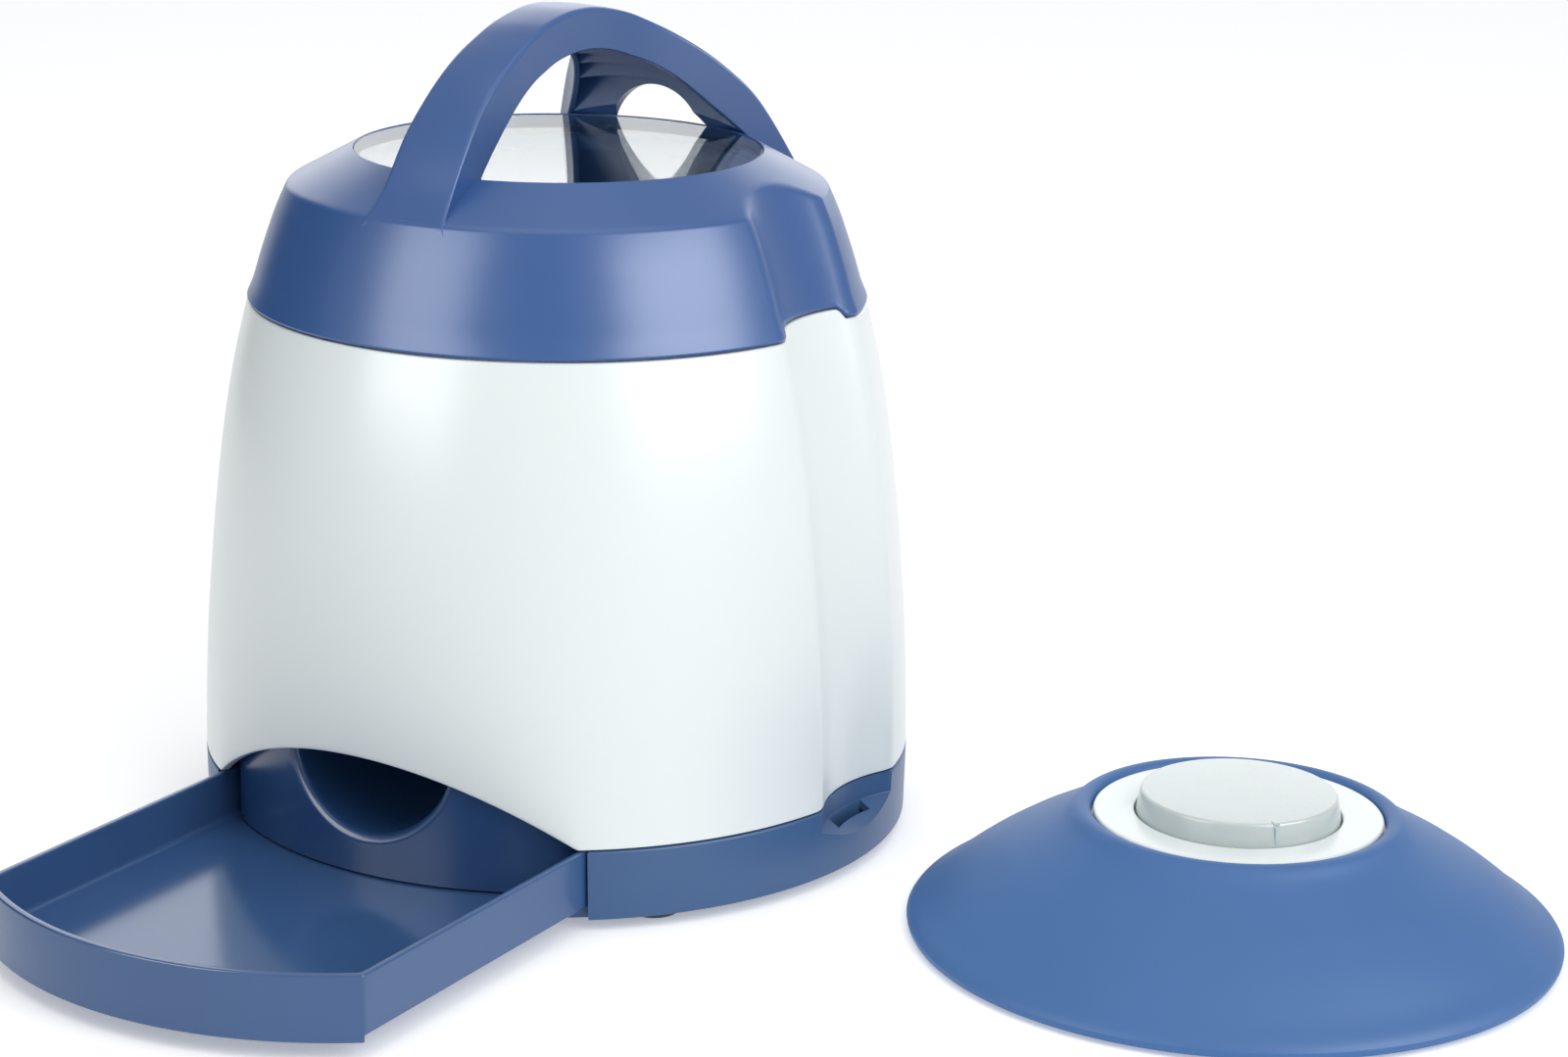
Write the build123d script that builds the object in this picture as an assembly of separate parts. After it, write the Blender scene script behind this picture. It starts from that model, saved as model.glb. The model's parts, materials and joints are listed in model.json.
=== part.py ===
# Treat feeder and its separate push buzzer, in millimetres.
# Origin: feeder axis on the floor.  -Y is the tray side, +X is the buzzer side, +Z is up.

import os
from math import atan2, cos, degrees, pi, radians, sin, sqrt
from build123d import *

os.makedirs("parts", exist_ok=True)


def scaled(shares, width, low, height):
    # a table of (radius share, height share) as (radius, height)
    return [(width * out_share, low + height * up_share) for out_share, up_share in shares]


def around(circle, turns):
    # places on a circle at angles in degrees
    return [(circle * cos(radians(turn)), circle * sin(radians(turn))) for turn in turns]


# General
wall = 2.5
thin_wall = 2.2
slit = 0.3
fit_gap = 0.04
touch = 0.1
overshoot = 5.0

# Base ring and floor
ring_r = 100.5
ring_draft = 0.4
ring_r_low = ring_r - ring_draft
ring_low = 3.0
ring_top = 22.5
ring_edge = 0.6
floor_skin = 3.2
floor_top = ring_low + floor_skin
floor_setback = 3.2
floor_front_r = ring_r - floor_setback

# Tray, drawn pulled out
pull = 97.0
tray_half = 60.0
tray_wall = 2.0
tray_front_wall = 2.2
tray_flush = 0.1
tray_r = ring_r - tray_flush
tray_floor_low = floor_top + slit
tray_floor = 2.1
tray_top = ring_top - tray_flush
tray_front_drop = 1.8
tray_front_low = tray_floor_low - tray_front_drop
tray_back = 62.0
tray_soft = 1.6

# Tray channel in the base
mouth_gap = 1.0
mouth_half = tray_half + mouth_gap
rail_gap = 0.4
rail_wall = 1.6
rail_inner = tray_half + rail_gap
rail_outer = rail_inner + rail_wall
rail_top = tray_top + 2 * slit
rail_setback = 0.5
rail_front = sqrt(floor_front_r ** 2 - rail_outer ** 2) - rail_setback
channel_room = 2.5
channel_back = pull - tray_back + channel_room
channel_back_wall = 2.0

# Barrel
barrel_gap = 0.4
barrel_low = ring_top + barrel_gap
barrel_height = 128.0
barrel_top = barrel_low + barrel_height
barrel_inset = 0.1
body_r = ring_r - barrel_inset
barrel_shares = [(1, 0), (0.996, 0.1336), (0.9866, 0.2898), (0.9706, 0.4461), (0.9502, 0.6023),
                 (0.9233, 0.7586), (0.8845, 0.9148), (0.8576, 1)]
barrel_profile = scaled(barrel_shares, body_r, barrel_low, barrel_height)
barrel_top_r = barrel_profile[-1][0]
arch_r = 93.4
arch_rise = 20.8
arch_top = barrel_low + arch_rise

# Lid
lid_gap = 0.4
lid_low = barrel_top + lid_gap
lid_height = 30.2
lid_overhang = 0.3
lid_r = barrel_top_r + lid_overhang
lid_wall = 2.4
lid_shares = [(1, 0), (0.9826, 0.1225), (0.9664, 0.2881), (0.9282, 0.6192), (0.9086, 0.7848), (0.8866, 1)]
lid_profile = scaled(lid_shares, lid_r, lid_low, lid_height)
shoulder_r = lid_profile[-1][0]
shoulder_z = lid_low + lid_height
shoulder_soft = 1.6
slope_height = 11.1
lid_edge_r = 56.9
lid_edge_z = shoulder_z + slope_height
slope_drop = 2.7
plug_gap = 0.4
plug_r = barrel_top_r - wall - plug_gap
plug_wall = 2.4
plug_reach = 7.3
plug_root = 4.7
plug_low = lid_low - plug_reach
plug_top = lid_low + plug_root

# Side grooves, left and right
groove_r = 41.7
groove_offset = 34.8
groove_skin = 2.4
groove_shares = [(1.005, 0.026), (1, 0.1168), (0.9866, 0.3115), (0.9502, 0.5192), (0.9233, 0.6231),
                 (0.8845, 0.7269), (0.8456, 0.8048), (0.7988, 0.8827), (0.761, 0.945), (0.7191, 1.0125)]
groove_path = scaled(groove_shares, body_r, 0, lid_edge_z)
tab_rise = 2.9
tab_top = barrel_top + tab_rise
tab_half = 16.0
recess_depth = 6.1
recess_ledge = ring_top - recess_depth
recess_slope_share = 0.64
recess_reach = 12.0
notch_half = 9.0
notch_depth = 3.3

# Window and its ring
window_r = lid_edge_r - slit
window_drop = 0.6
window_top = lid_edge_z - window_drop
window_skin = 1.8
seat_depth = 4.0
seat_z = lid_edge_z - seat_depth
flange_lip = 3.8
flange_r = window_r + flange_lip
flange_thick = 2.0
flange_low = seat_z - flange_thick
seat_gap = 0.4
collar_inner = flange_r + seat_gap
collar_ring = 5.8
collar_r = collar_inner + collar_ring
collar_depth = 4.4
collar_low = seat_z - collar_depth
retainer_r = collar_r - 2 * touch
retainer_lip = 3.0
retainer_inner = flange_r - retainer_lip
retainer_thick = 2.0
retainer_low = collar_low - retainer_thick
retainer_lip_top = flange_low - touch
ring_screw_circle = (collar_r + collar_inner) / 2
ring_screw_count = 4

# Handle, one moulding with the lid
handle_rise = 50.3
handle_thick = 11.2
hand_rise = handle_rise - handle_thick
handle_bed = 0.9
handle_root = shoulder_z - handle_bed
dome_shares = [(0, 1), (0.1305, 0.994), (0.2454, 0.9742), (0.3264, 0.9483), (0.4178, 0.9046), (0.483, 0.8648),
               (0.5483, 0.8091), (0.6123, 0.7455), (0.6723, 0.662), (0.7337, 0.5527), (0.799, 0.4076),
               (0.8551, 0.2783), (0.9008, 0.173), (0.9426, 0.0895), (0.9869, 0.0219)]
dome_profile = scaled(dome_shares, shoulder_r, shoulder_z, handle_rise)
dome_root_points = 4
roof_profile = dome_profile[:-dome_root_points]
hand_shares = [(0, 1), (0.1697, 0.9898), (0.2611, 0.9565), (0.3133, 0.9284), (0.3695, 0.8696),
               (0.4308, 0.7928), (0.5222, 0.665), (0.6005, 0.5371), (0.6619, 0.4297), (0.718, 0.2992),
               (0.7768, 0.1407)]
hand_profile = scaled(hand_shares, shoulder_r, shoulder_z, hand_rise)
handle_half = 11.5
leg_half = 45.0
leg_reach = 80.0
side_shares = [(0, -0.1875), (0.0597, 0.0625), (0.209, 0.35), (0.4179, 0.625), (0.7463, 0.825), (1, 1)]
handle_side = [(handle_half + (leg_half - handle_half) * out_share, leg_reach * back_share)
               for out_share, back_share in side_shares]
handle_front = shoulder_r + 2 * overshoot
roof = 2.4
rim = 2.6
rib_raise = 4.5
rib_gap = 5.6
rib_width = 1.6
rib_back = 52.0
crotch_half = 16.0
crotch_rise = 13.0
crotch_sink = 2.6
crotch_z = lid_edge_z - crotch_sink
crotch_front = 40.0

# Rotor housing, its plate over the pipe
plate_low = 95.5
plate_thick = 2.5
plate_top = plate_low + plate_thick
plate_setback = 14.5
plate_r = ring_r - plate_setback
rotor_gap = 0.7
rotor_low = plate_top + rotor_gap
rotor_height = 19.8
rotor_top = rotor_low + rotor_height
drum_inner = 65.4
drum_wall = 2.0
drum_outer = drum_inner + drum_wall
drum_rise = 3.0
drum_top = rotor_top + drum_rise
post_r = 5.0
post_inset = 5.4
post_turns = [-21.8, 201.8, 55.1, 124.9]
post_spots = around(plate_r - post_inset, post_turns)
post_base = 3.8
post_low = floor_top + post_base
boss_r = 6.2
hub_boss_r = 6.0
hub_boss_depth = 7.5
hub_boss_low = plate_low - hub_boss_depth
pinion_notch_half = 12.0

# Outlet wall and deck
panel_setback = 4.9
panel_r = ring_r - panel_setback
panel_gap = 0.7
panel_half = tray_half - tray_wall - panel_gap
panel_low = tray_floor_low + tray_floor + 2 * slit
panel_soft = 4.0
panel_back = 50.0
deck_top = rail_top + thin_wall
panel_rise = 52.8
panel_top = deck_top + panel_rise
panel_shares = [(1, 0), (0.9995, 0.3561), (0.9958, 0.697), (0.9864, 1)]
panel_profile = scaled(panel_shares, panel_r, deck_top, panel_rise)
deck_back = channel_back + channel_back_wall
deck_setback = 4.5
deck_front = rail_front - deck_setback
outlet_z = 46.0
outlet_r = 25.5
outlet_soft = 2.0
pipe_collar = 2.6

# Sloping pipe
drop_reach = 33.7
bend = plate_low - outlet_z
collar_back = drop_reach + bend
chute_wall = 1.8

# Rotor and gear train
rotor_wall_r = 57.0
rotor_hub_r = 9.0
paddle = 2.2
paddle_count = 6
rotor_pin_r = 3.0
rotor_pin_step = 1.0
rotor_pin_low = hub_boss_low + rotor_pin_step
rotor_pin_tip = 1.5
rotor_pin_top = rotor_top + rotor_pin_tip
tooth_module = 1.5
rim_teeth = 80
small_teeth = 12
gear_face = 5.0
gear_top = rotor_low + gear_face
fine_module = 0.8
big_teeth = 36
pinion_teeth = 12
addendum_share = 0.8
dedendum_share = 1.2
root_share = 0.62
pitch_share = 0.44
tip_share = 0.24
bracket_drop = 11.5
bracket_low = plate_low - bracket_drop
bracket_thick = 2.0
bracket_top = bracket_low + bracket_thick
big_gear_lift = 1.4
big_gear_face = 4.0
big_gear_low = bracket_top + big_gear_lift
big_gear_top = big_gear_low + big_gear_face
idler_hub_r = 5.0
idler_pin_r = 1.5
idler_pin_tip = 2.3
idler_pin_top = gear_top + idler_pin_tip
plate_bore = 11.2
pinion_lift = 1.0
pinion_low = bracket_top + pinion_lift
pinion_face = 5.0
pinion_top = pinion_low + pinion_face
motor_angle = -20.0

# Motor and its bracket
motor_r = 12.0
motor_length = 26.0
motor_low = bracket_low - motor_length
motor_end_r = 4.5
motor_end = 2.0
shaft_r = 1.0
shaft_depth = 4.0
shaft_low = bracket_low - shaft_depth
shaft_tip = 2.0
shaft_top = pinion_top + shaft_tip
bracket_left = 20.0
bracket_right = 37.0
bracket_front = 46.0
bracket_back = 85.0
bracket_setback = 12.5
bracket_r = ring_r - bracket_setback
standoff_r = 3.2
standoff_shares = [(0.0789, 0.141), (0.1316, 0.9359), (0.9298, 0.7051)]
standoff_spots = [(-bracket_left + (bracket_left + bracket_right) * across_share,
                   bracket_front + (bracket_back - bracket_front) * back_share)
                  for across_share, back_share in standoff_shares]
motor_screw_reach = 8.0

# Food bin
bin_lap = 0.6
bin_flange_r = drum_outer + bin_lap
bin_floor = 2.0
bin_drop_y = 30.0
bin_drop_r = 25.0
bin_r = 73.8
bin_wall = 2.2
bin_cone = 24.5
bin_cone_top = drum_top + bin_cone
bin_rise = 3.0
bin_top = bin_cone_top + bin_rise
bin_lip_gap = 0.8
bin_lip_r = plug_r - plug_wall - bin_lip_gap
bin_lip = 2.0

# Screws
screw_r = 1.5
screw_head_r = 2.7
screw_head = 1.6
small_screw_r = 1.0
small_head_r = 1.8
small_head = 1.2
screw_bite = 9.0
small_bite = 4.5
head_room = 0.5
head_recess_r = screw_head_r + head_room

# Feet, and the barrel's bosses above them
foot_inset = 12.5
foot_turns = [-40.0, 220.0, 40.0, 140.0]
foot_spots = around(ring_r - foot_inset, foot_turns)
foot_r = 7.0
foot_pocket = 0.8
barrel_boss_r = 4.6
barrel_boss_rise = 21.1
barrel_boss_top = barrel_low + barrel_boss_rise
web_thick = 2.2
web_lift = 1.6
web_low = barrel_low + web_lift

# Feeder batteries
cell_r = 7.1
cell_length = 49.5
cell_count = 3
cell_gap = 1.3
cell_pitch = 2 * cell_r + cell_gap
cell_room = 0.9
nub_r = 2.6
nub = 1.2
contact_room = 4.25
contact_plate = 0.5
contact_half = 4.5
spring_tip_r = 2.4
spring_foot_r = 4.2
bay_wall = 1.6
bay_gap = 1.4
bay_half = cell_length / 2 + contact_room
bay_front = channel_back + channel_back_wall + bay_wall + bay_gap
cell_rows = [bay_front + cell_room + cell_r + number * cell_pitch for number in range(cell_count)]
bay_back = cell_rows[-1] + cell_r + cell_room
door_thick = 2.0
door_top = ring_low + door_thick
cell_lift = 0.5
cell_z = door_top + cell_lift + cell_r
bay_head = 1.1
bay_ceiling = cell_z + cell_r + bay_head
door_side_lap = 2.0
door_end_lap = 1.5
door_half = bay_half + door_side_lap
door_front = bay_front - door_end_lap
door_back = bay_back + door_end_lap
door_slide = 8.0
door_grip_count = 4
door_grip = 1.2
door_grip_pitch = 2.4
door_grip_start = 4.8
door_grip_half = 7.1
door_grip_depth = 0.5

# Power switch
switch_x = -45.0
switch_y = 46.8
switch_half = 6.5
switch_depth_half = 3.4
switch_rise = 6.3
switch_top = floor_top + switch_rise
knob_half = 2.0
knob_depth_half = 1.6
knob_inset = 0.5
knob_low = ring_low + knob_inset
knob_travel = 3.0
slider_half = 4.0

# Control board
board_half_x = 32.0
board_front = -8.0
board_back = 32.0
board_lift = 3.8
board_low = deck_top + board_lift
board_thick = 1.6
board_post_r = 2.6
board_post_inset = 4.0
chip_half = 5.0
chip_height = 1.4
can_cap_r = 4.0
can_cap_height = 11.0
plug_half = 4.0
plug_height = 6.0

# Buzzer skirt
skirt_r = 86.8
crest_z = 34.7
buzzer_gap = 18.7
buzzer_x = ring_r + buzzer_gap + skirt_r
buzzer_y = 12.0
skirt_shares = [(1, 0.0865), (0.9816, 0.1441), (0.9608, 0.1844), (0.9343, 0.2305), (0.909, 0.2882),
                (0.8525, 0.4035), (0.7857, 0.5187), (0.7143, 0.634), (0.629, 0.7493), (0.5472, 0.8761),
                (0.5127, 0.951)]
skirt_profile = scaled(skirt_shares, skirt_r, 0, crest_z)
skirt_low = 1.0
skirt_tuck = 1.4
skirt_low_r = skirt_r - skirt_tuck
crest_r = 42.0
lip_r = 38.7
lip_drop = 1.5
lip_z = crest_z - lip_drop
lip_depth = 4.1
lip_low = crest_z - lip_depth
lip_wall = 2.3
lip_inner_r = lip_r + lip_wall
skirt_inner_shares = [(0.9539, 0.0749), (0.8813, 0.2651), (0.8272, 0.3804), (0.7604, 0.4928), (0.6901, 0.6052),
                      (0.606, 0.7176), (0.5253, 0.8242)]
skirt_inner = scaled(skirt_inner_shares, skirt_r, 0, crest_z)

# Buzzer base and its feet
buzzer_base_inset = 2.8
buzzer_base_r = skirt_inner[0][0] - buzzer_base_inset
buzzer_base_low = 2.6
buzzer_base_thick = 2.2
buzzer_base_top = buzzer_base_low + buzzer_base_thick
buzzer_foot_r = 6.0
buzzer_foot_pocket = 0.4
buzzer_foot_circle = 66.0
buzzer_foot_turns = [30.0, 150.0, 210.0, 330.0]
buzzer_boss_circle = 62.0
buzzer_boss_r = 3.6
quarter_turns = [45.0, 135.0, 225.0, 315.0]

# Buzzer case, push button and carrier
cap_r_low = 26.95
cap_taper = 1.35
cap_r_top = cap_r_low - cap_taper
case_gap = 0.4
case_r = lip_r - case_gap
case_sink = 0.8
case_top = crest_z - case_sink
case_lip = 2.4
case_step_z = case_top - case_lip
cap_side_gap = 0.45
case_hole_r = cap_r_low + cap_side_gap
case_drop = 0.5
case_low = buzzer_base_top + slit
case_skin = 2.2
cap_rise = 6.4
cap_top = case_top + cap_rise
cap_dome = 0.5
cap_soft = 1.6
cap_skin = 1.8
cap_flange = 3.25
cap_flange_r = cap_r_low + cap_flange
cap_flange_thick = 2.3
cap_flange_top = case_step_z - case_gap
cap_flange_low = cap_flange_top - cap_flange_thick
carrier_inset = 0.8
carrier_r = cap_flange_r - carrier_inset
carrier_thick = 1.8
carrier_low = cap_flange_low - carrier_thick
carrier_stem_r = 3.2
press_travel = 3.0
spring_coil_r = 10.0
spring_wire = 1.0

# Buzzer board
buzzer_board_r = 30.0
buzzer_board_lift = 7.2
buzzer_board_low = buzzer_base_top + buzzer_board_lift
board_face = buzzer_board_low + board_thick
buzzer_post_r = 3.0
buzzer_post_circle = 25.0
tact_half = 6.0
tact_height = 3.6
tact_stem_r = 1.8
tact_stem = 4.5
tact_stem_top = board_face + tact_stem
carrier_stem_low = tact_stem_top + press_travel + slit
light_count = 4
light_circle = 17.0
light_r = 2.5
light_height = 4.0

# Buzzer batteries
small_cell_r = 5.2
small_cell_length = 43.5
small_cell_count = 2
small_cell_gap = 1.1
small_cell_pitch = 2 * small_cell_r + small_cell_gap
small_nub_r = 1.3
small_contact_room = 4.75
small_tip_share = 0.7
small_bay_half = small_cell_length / 2 + small_contact_room
small_bay_back = -31.4
small_cell_rows = [small_bay_back - cell_room - small_cell_r - number * small_cell_pitch
                   for number in range(small_cell_count)]
small_bay_front = small_cell_rows[-1] - small_cell_r - cell_room
small_door_lap = 1.5
small_door_half = small_bay_half + small_door_lap
small_door_front = small_bay_front - small_door_lap
small_door_back = small_bay_back + small_door_lap
small_door_thick = 1.6
small_door_top = buzzer_base_low + small_door_thick
small_cell_lift = 1.2
small_cell_z = small_door_top + small_cell_lift + small_cell_r
small_door_slide = 6.0


# Short forms of the kernel's solids
def rod(radius, low, high, x=0, y=0):
    return Pos(x, y, low) * Cylinder(radius, high - low, align=(Align.CENTER, Align.CENTER, Align.MIN))


def sleeve(outer, inner, low, high, x=0, y=0):
    return rod(outer, low, high, x, y) - rod(inner, low - overshoot, high + overshoot, x, y)


def block(x_low, x_high, y_low, y_high, z_low, z_high):
    box = Box(x_high - x_low, y_high - y_low, z_high - z_low, align=(Align.MIN, Align.MIN, Align.MIN))
    return Pos(x_low, y_low, z_low) * box


def lying_rod(radius, x_low, x_high, y, z):
    turned_rod = Rot(0, 90, 0) * Cylinder(radius, x_high - x_low, align=(Align.CENTER, Align.CENTER, Align.MIN))
    return Pos(x_low, y, z) * turned_rod


def lying_cone(foot_radius, tip_radius, foot, tip, side, y, z):
    # from the foot's x inward to the tip's x, on the side given as 1 or -1
    cone = Cone(foot_radius, tip_radius, foot - tip, align=(Align.CENTER, Align.CENTER, Align.MIN))
    return Pos(side * foot, y, z) * (Rot(0, -side * 90, 0) * cone)


def turned(corners, x=0, y=0):
    outline = Polyline([(radius, 0, height) for radius, height in corners], close=True)
    return Pos(x, y, 0) * revolve(make_face(outline), Axis.Z)


def turned_curve(curve, corners, x=0, y=0):
    # the curve runs smoothly through its points, the corners close it with straight lines
    smooth = Spline([(radius, 0, height) for radius, height in curve])
    ends = [curve[-1]] + corners + [curve[0]]
    straight = Polyline([(radius, 0, height) for radius, height in ends])
    return Pos(x, y, 0) * revolve(make_face([smooth, straight]), Axis.Z)


def union(shapes):
    total = shapes[0]
    for shape in shapes[1:]:
        total = total + shape
    return total


def group(shapes):
    return Compound(children=[piece for shape in shapes for piece in shape.solids()])


def save(name, shape):
    export_step(shape, "parts/" + name + ".step")


def screw(x, y, head_low, length, shank_r=screw_r, head_r=screw_head_r, head_height=screw_head):
    # head below, shank upward
    return rod(head_r, head_low, head_low + head_height, x, y) + rod(shank_r, head_low, head_low + length, x, y)


def gear(module, teeth, low, high, phase=0):
    # straight-sided teeth, thinner than the gaps so that a pair in mesh stays clear
    pitch = module * teeth / 2
    step = 2 * pi / teeth
    levels = [(pitch - dedendum_share * module, root_share), (pitch, pitch_share),
              (pitch + addendum_share * module, tip_share)]
    points = []
    for tooth in range(teeth):
        middle = phase + tooth * step
        for radius, share in levels:
            turn = middle - share * step / 2
            points.append((radius * cos(turn), radius * sin(turn)))
        for radius, share in reversed(levels):
            turn = middle + share * step / 2
            points.append((radius * cos(turn), radius * sin(turn)))
    outline = make_face(Polyline(points, close=True))
    return Pos(0, 0, low) * extrude(outline, high - low)


# Side grooves: level circles joined along each flank
def groove_cutter(radius, side):
    return loft([Pos(side * (reach + groove_offset), 0, height) * Circle(radius)
                 for reach, height in groove_path])


grooves = [groove_cutter(groove_r, side) for side in (-1, 1)]
groove_walls = [groove_cutter(groove_r + groove_skin, side) for side in (-1, 1)]
groove_clears = [groove_cutter(groove_r + groove_skin + 2 * slit, side) for side in (-1, 1)]
groove_x = ring_r - ring_edge / 2 + groove_offset

# Base shell
ring_profile = [(0, ring_low), (ring_r_low - ring_edge, ring_low), (ring_r_low, ring_low + ring_edge),
                (ring_r, ring_top - ring_edge), (ring_r - ring_edge, ring_top), (0, ring_top)]
base = turned(ring_profile)
base = base - rod(ring_r - wall, floor_top, ring_top + overshoot)
ledge_out = recess_ledge - recess_slope_share * recess_reach
scoop = [(groove_r - recess_reach, ring_top + overshoot), (groove_r, ring_top + overshoot),
         (groove_r, recess_ledge), (groove_r - recess_reach, ledge_out)]
scoop_body = [(groove_r - recess_reach, ring_top), (groove_r + groove_skin, ring_top),
              (groove_r + groove_skin, recess_ledge - groove_skin), (groove_r, recess_ledge - groove_skin),
              (groove_r - recess_reach, ledge_out - groove_skin)]
envelope = turned(ring_profile)
for side in (-1, 1):
    axis_x = side * groove_x
    base = base + (turned(scoop_body, axis_x) & envelope)
    base = base - turned(scoop, axis_x)
    slot = block(axis_x - groove_r, axis_x + groove_r, -notch_half, notch_half, floor_top, ring_top)
    base = base - (slot & sleeve(groove_r, groove_r - notch_depth, floor_top, ring_top, axis_x))
channel_end = channel_back + channel_back_wall
rails = block(-rail_outer, rail_outer, -rail_front, channel_end, floor_top - slit, rail_top)
rails = rails - block(-rail_inner, rail_inner, -ring_r, channel_back, floor_top - overshoot, ring_r)
base = base + rails
bay_outer_half = bay_half + bay_wall
bay = block(-bay_outer_half, bay_outer_half, bay_front - bay_wall, bay_back + bay_wall,
            floor_top - slit, bay_ceiling + bay_wall)
base = base + bay
for x, y in post_spots:
    base = base + rod(boss_r, floor_top - slit, post_low, x, y)
tray_mouth = block(-mouth_half, mouth_half, -ring_r - overshoot, 0, ring_low - overshoot, ring_top + overshoot)
base = base - (tray_mouth - rod(floor_front_r, ring_low - 2 * overshoot, ring_top + 2 * overshoot))
base = base - block(-bay_half, bay_half, bay_front, bay_back, ring_low - overshoot, bay_ceiling)
door_room = door_top + slit / 2
base = base - block(-door_half - slit, door_half + slit, door_front - door_slide - slit, door_back + slit,
                    ring_low - overshoot, door_room)
for x, y in post_spots + foot_spots:
    base = base - rod(screw_r + slit, ring_low - overshoot, post_low + overshoot, x, y)
    base = base - rod(head_recess_r, ring_low - overshoot, ring_low + screw_head + slit, x, y)
for x, y in foot_spots:
    base = base - rod(foot_r + slit, ring_low - overshoot, ring_low + foot_pocket, x, y)
knob_slot_half = knob_half + knob_travel / 2 + 2 * slit
base = base - block(switch_x - knob_slot_half, switch_x + knob_slot_half, switch_y - knob_depth_half - slit,
                    switch_y + knob_depth_half + slit, ring_low - overshoot, floor_top + overshoot)
save("base_shell", base)

# Feet
feet = [rod(foot_r, 0, ring_low + foot_pocket, x, y) for x, y in foot_spots]
feet = [foot - rod(head_recess_r, ring_low + foot_pocket - screw_head, ring_top, x, y)
        for foot, (x, y) in zip(feet, foot_spots)]
save("base_feet", group(feet))

# Barrel
inner_profile = [(radius - wall, height) for radius, height in barrel_profile]
barrel = turned_curve(barrel_profile, [(0, barrel_top), (0, barrel_low)])
skin_cut = turned_curve(inner_profile, [(0, barrel_top), (0, barrel_low)])
for cutter in groove_walls:
    skin_cut = skin_cut - cutter
for cutter in grooves:
    barrel = barrel - cutter
barrel = barrel - skin_cut
for side, cutter, cutter_wall in zip((-1, 1), grooves, groove_walls):
    flank = sorted([side * ring_r, 0])
    tab = block(flank[0], flank[1], -tab_half, tab_half, barrel_top - overshoot / 2, tab_top)
    barrel = barrel + ((tab & cutter_wall) - cutter)
outer_body = turned_curve(barrel_profile, [(0, barrel_top), (0, barrel_low)])
for x, y in foot_spots:
    turn = degrees(atan2(y, x))
    reach = sqrt(x * x + y * y)
    web = Rot(0, 0, turn) * block(reach, ring_r, -web_thick / 2, web_thick / 2, web_low, barrel_boss_top)
    boss = rod(barrel_boss_r, floor_top, barrel_boss_top, x, y)
    boss = boss - rod(screw_r + fit_gap, floor_top - overshoot, floor_top + screw_bite, x, y)
    barrel = barrel + boss + (web & outer_body)
arch_centre = arch_top - arch_r
arch_rod = Cylinder(arch_r, 2 * ring_r, align=(Align.CENTER, Align.CENTER, Align.MIN))
arch = Pos(0, 0, arch_centre) * (Rot(90, 0, 0) * arch_rod)
arch = arch & block(-mouth_half, mouth_half, -ring_r - overshoot, -collar_back + overshoot, 0, ring_r)
barrel = barrel - arch
save("body_shell", barrel)

# Outlet wall, its returns and the deck over the tray
panel_core = turned_curve([(radius - thin_wall, height) for radius, height in panel_profile],
                          [(0, panel_top), (0, deck_top)])
panel = turned_curve(panel_profile, [(0, panel_top), (0, deck_top)]) - panel_core
panel = panel & block(-panel_half, panel_half, -ring_r, 0, panel_low, panel_top)


def bowed_block(inset, back, soft, low, high):
    radius = panel_r - inset
    half = panel_half - inset
    corner_y = sqrt(radius * radius - half * half)
    solid = rod(radius, low, high) & block(-half, half, -ring_r, back, low, high)
    corners = solid.edges().filter_by(Axis.Z).filter_by(lambda edge: edge.center().Y < slit - corner_y)
    return fillet(corners, soft)


panel = panel + bowed_block(0, -panel_back, panel_soft, panel_low, deck_top)
panel = panel - bowed_block(thin_wall, 0, panel_soft - thin_wall, panel_low - overshoot, rail_top)
deck = block(-rail_outer, rail_outer, -deck_front, deck_back, rail_top, deck_top)
panel = panel + (deck & rod(panel_r - slit, 0, ring_r))
board_spots = [(side * (board_half_x - board_post_inset), y)
               for side in (-1, 1) for y in (board_front + board_post_inset, board_back - board_post_inset)]
for x, y in board_spots:
    panel = panel + rod(board_post_r, deck_top - slit, board_low, x, y)
    panel = panel - rod(small_screw_r + fit_gap, deck_top, board_low + overshoot, x, y)
outlet_outer = outlet_r + pipe_collar
outlet_axis = Pos(0, -collar_back, outlet_z) * Rot(90, 0, 0)
collar = outlet_axis * Cylinder(outlet_outer, ring_r, align=(Align.CENTER, Align.CENTER, Align.MIN))
inner_skin = [(radius - thin_wall / 2, height) for radius, height in panel_profile]
collar = collar & turned_curve(inner_skin, [(0, panel_top), (0, panel_low)])
chute_clear = outlet_r + chute_wall + 2 * slit
bend_centre = (0, -collar_back, outlet_z + bend)


def bent_rod(radius):
    ring = Plane(origin=(0, -collar_back, outlet_z), x_dir=(1, 0, 0), z_dir=(0, 1, 0)) * Circle(radius)
    return revolve(ring, Axis(bend_centre, (1, 0, 0)), 90)


chute_space = bent_rod(chute_clear)
panel = (panel - chute_space) + collar
bore = outlet_axis * Cylinder(outlet_r, 2 * ring_r, align=(Align.CENTER, Align.CENTER, Align.CENTER))
bore = bore & block(-ring_r, ring_r, -2 * ring_r, -collar_back + slit, -ring_r, ring_r)
panel = panel - bore
rim_edges = panel.edges().filter_by(lambda edge: edge.center().Y < -panel_r + 2 * wall
                                    and abs(edge.length) > outlet_r
                                    and edge.bounding_box().min.Z > outlet_z - outlet_r - slit
                                    and edge.bounding_box().max.X < outlet_r + slit
                                    and edge.bounding_box().min.X > -outlet_r - slit)
panel = fillet(rim_edges, outlet_soft)
save("outlet_panel", panel)

# Sloping pipe from the rotor to the outlet
chute = bent_rod(outlet_r + chute_wall) - bent_rod(outlet_r)
save("chute", chute)

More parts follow.
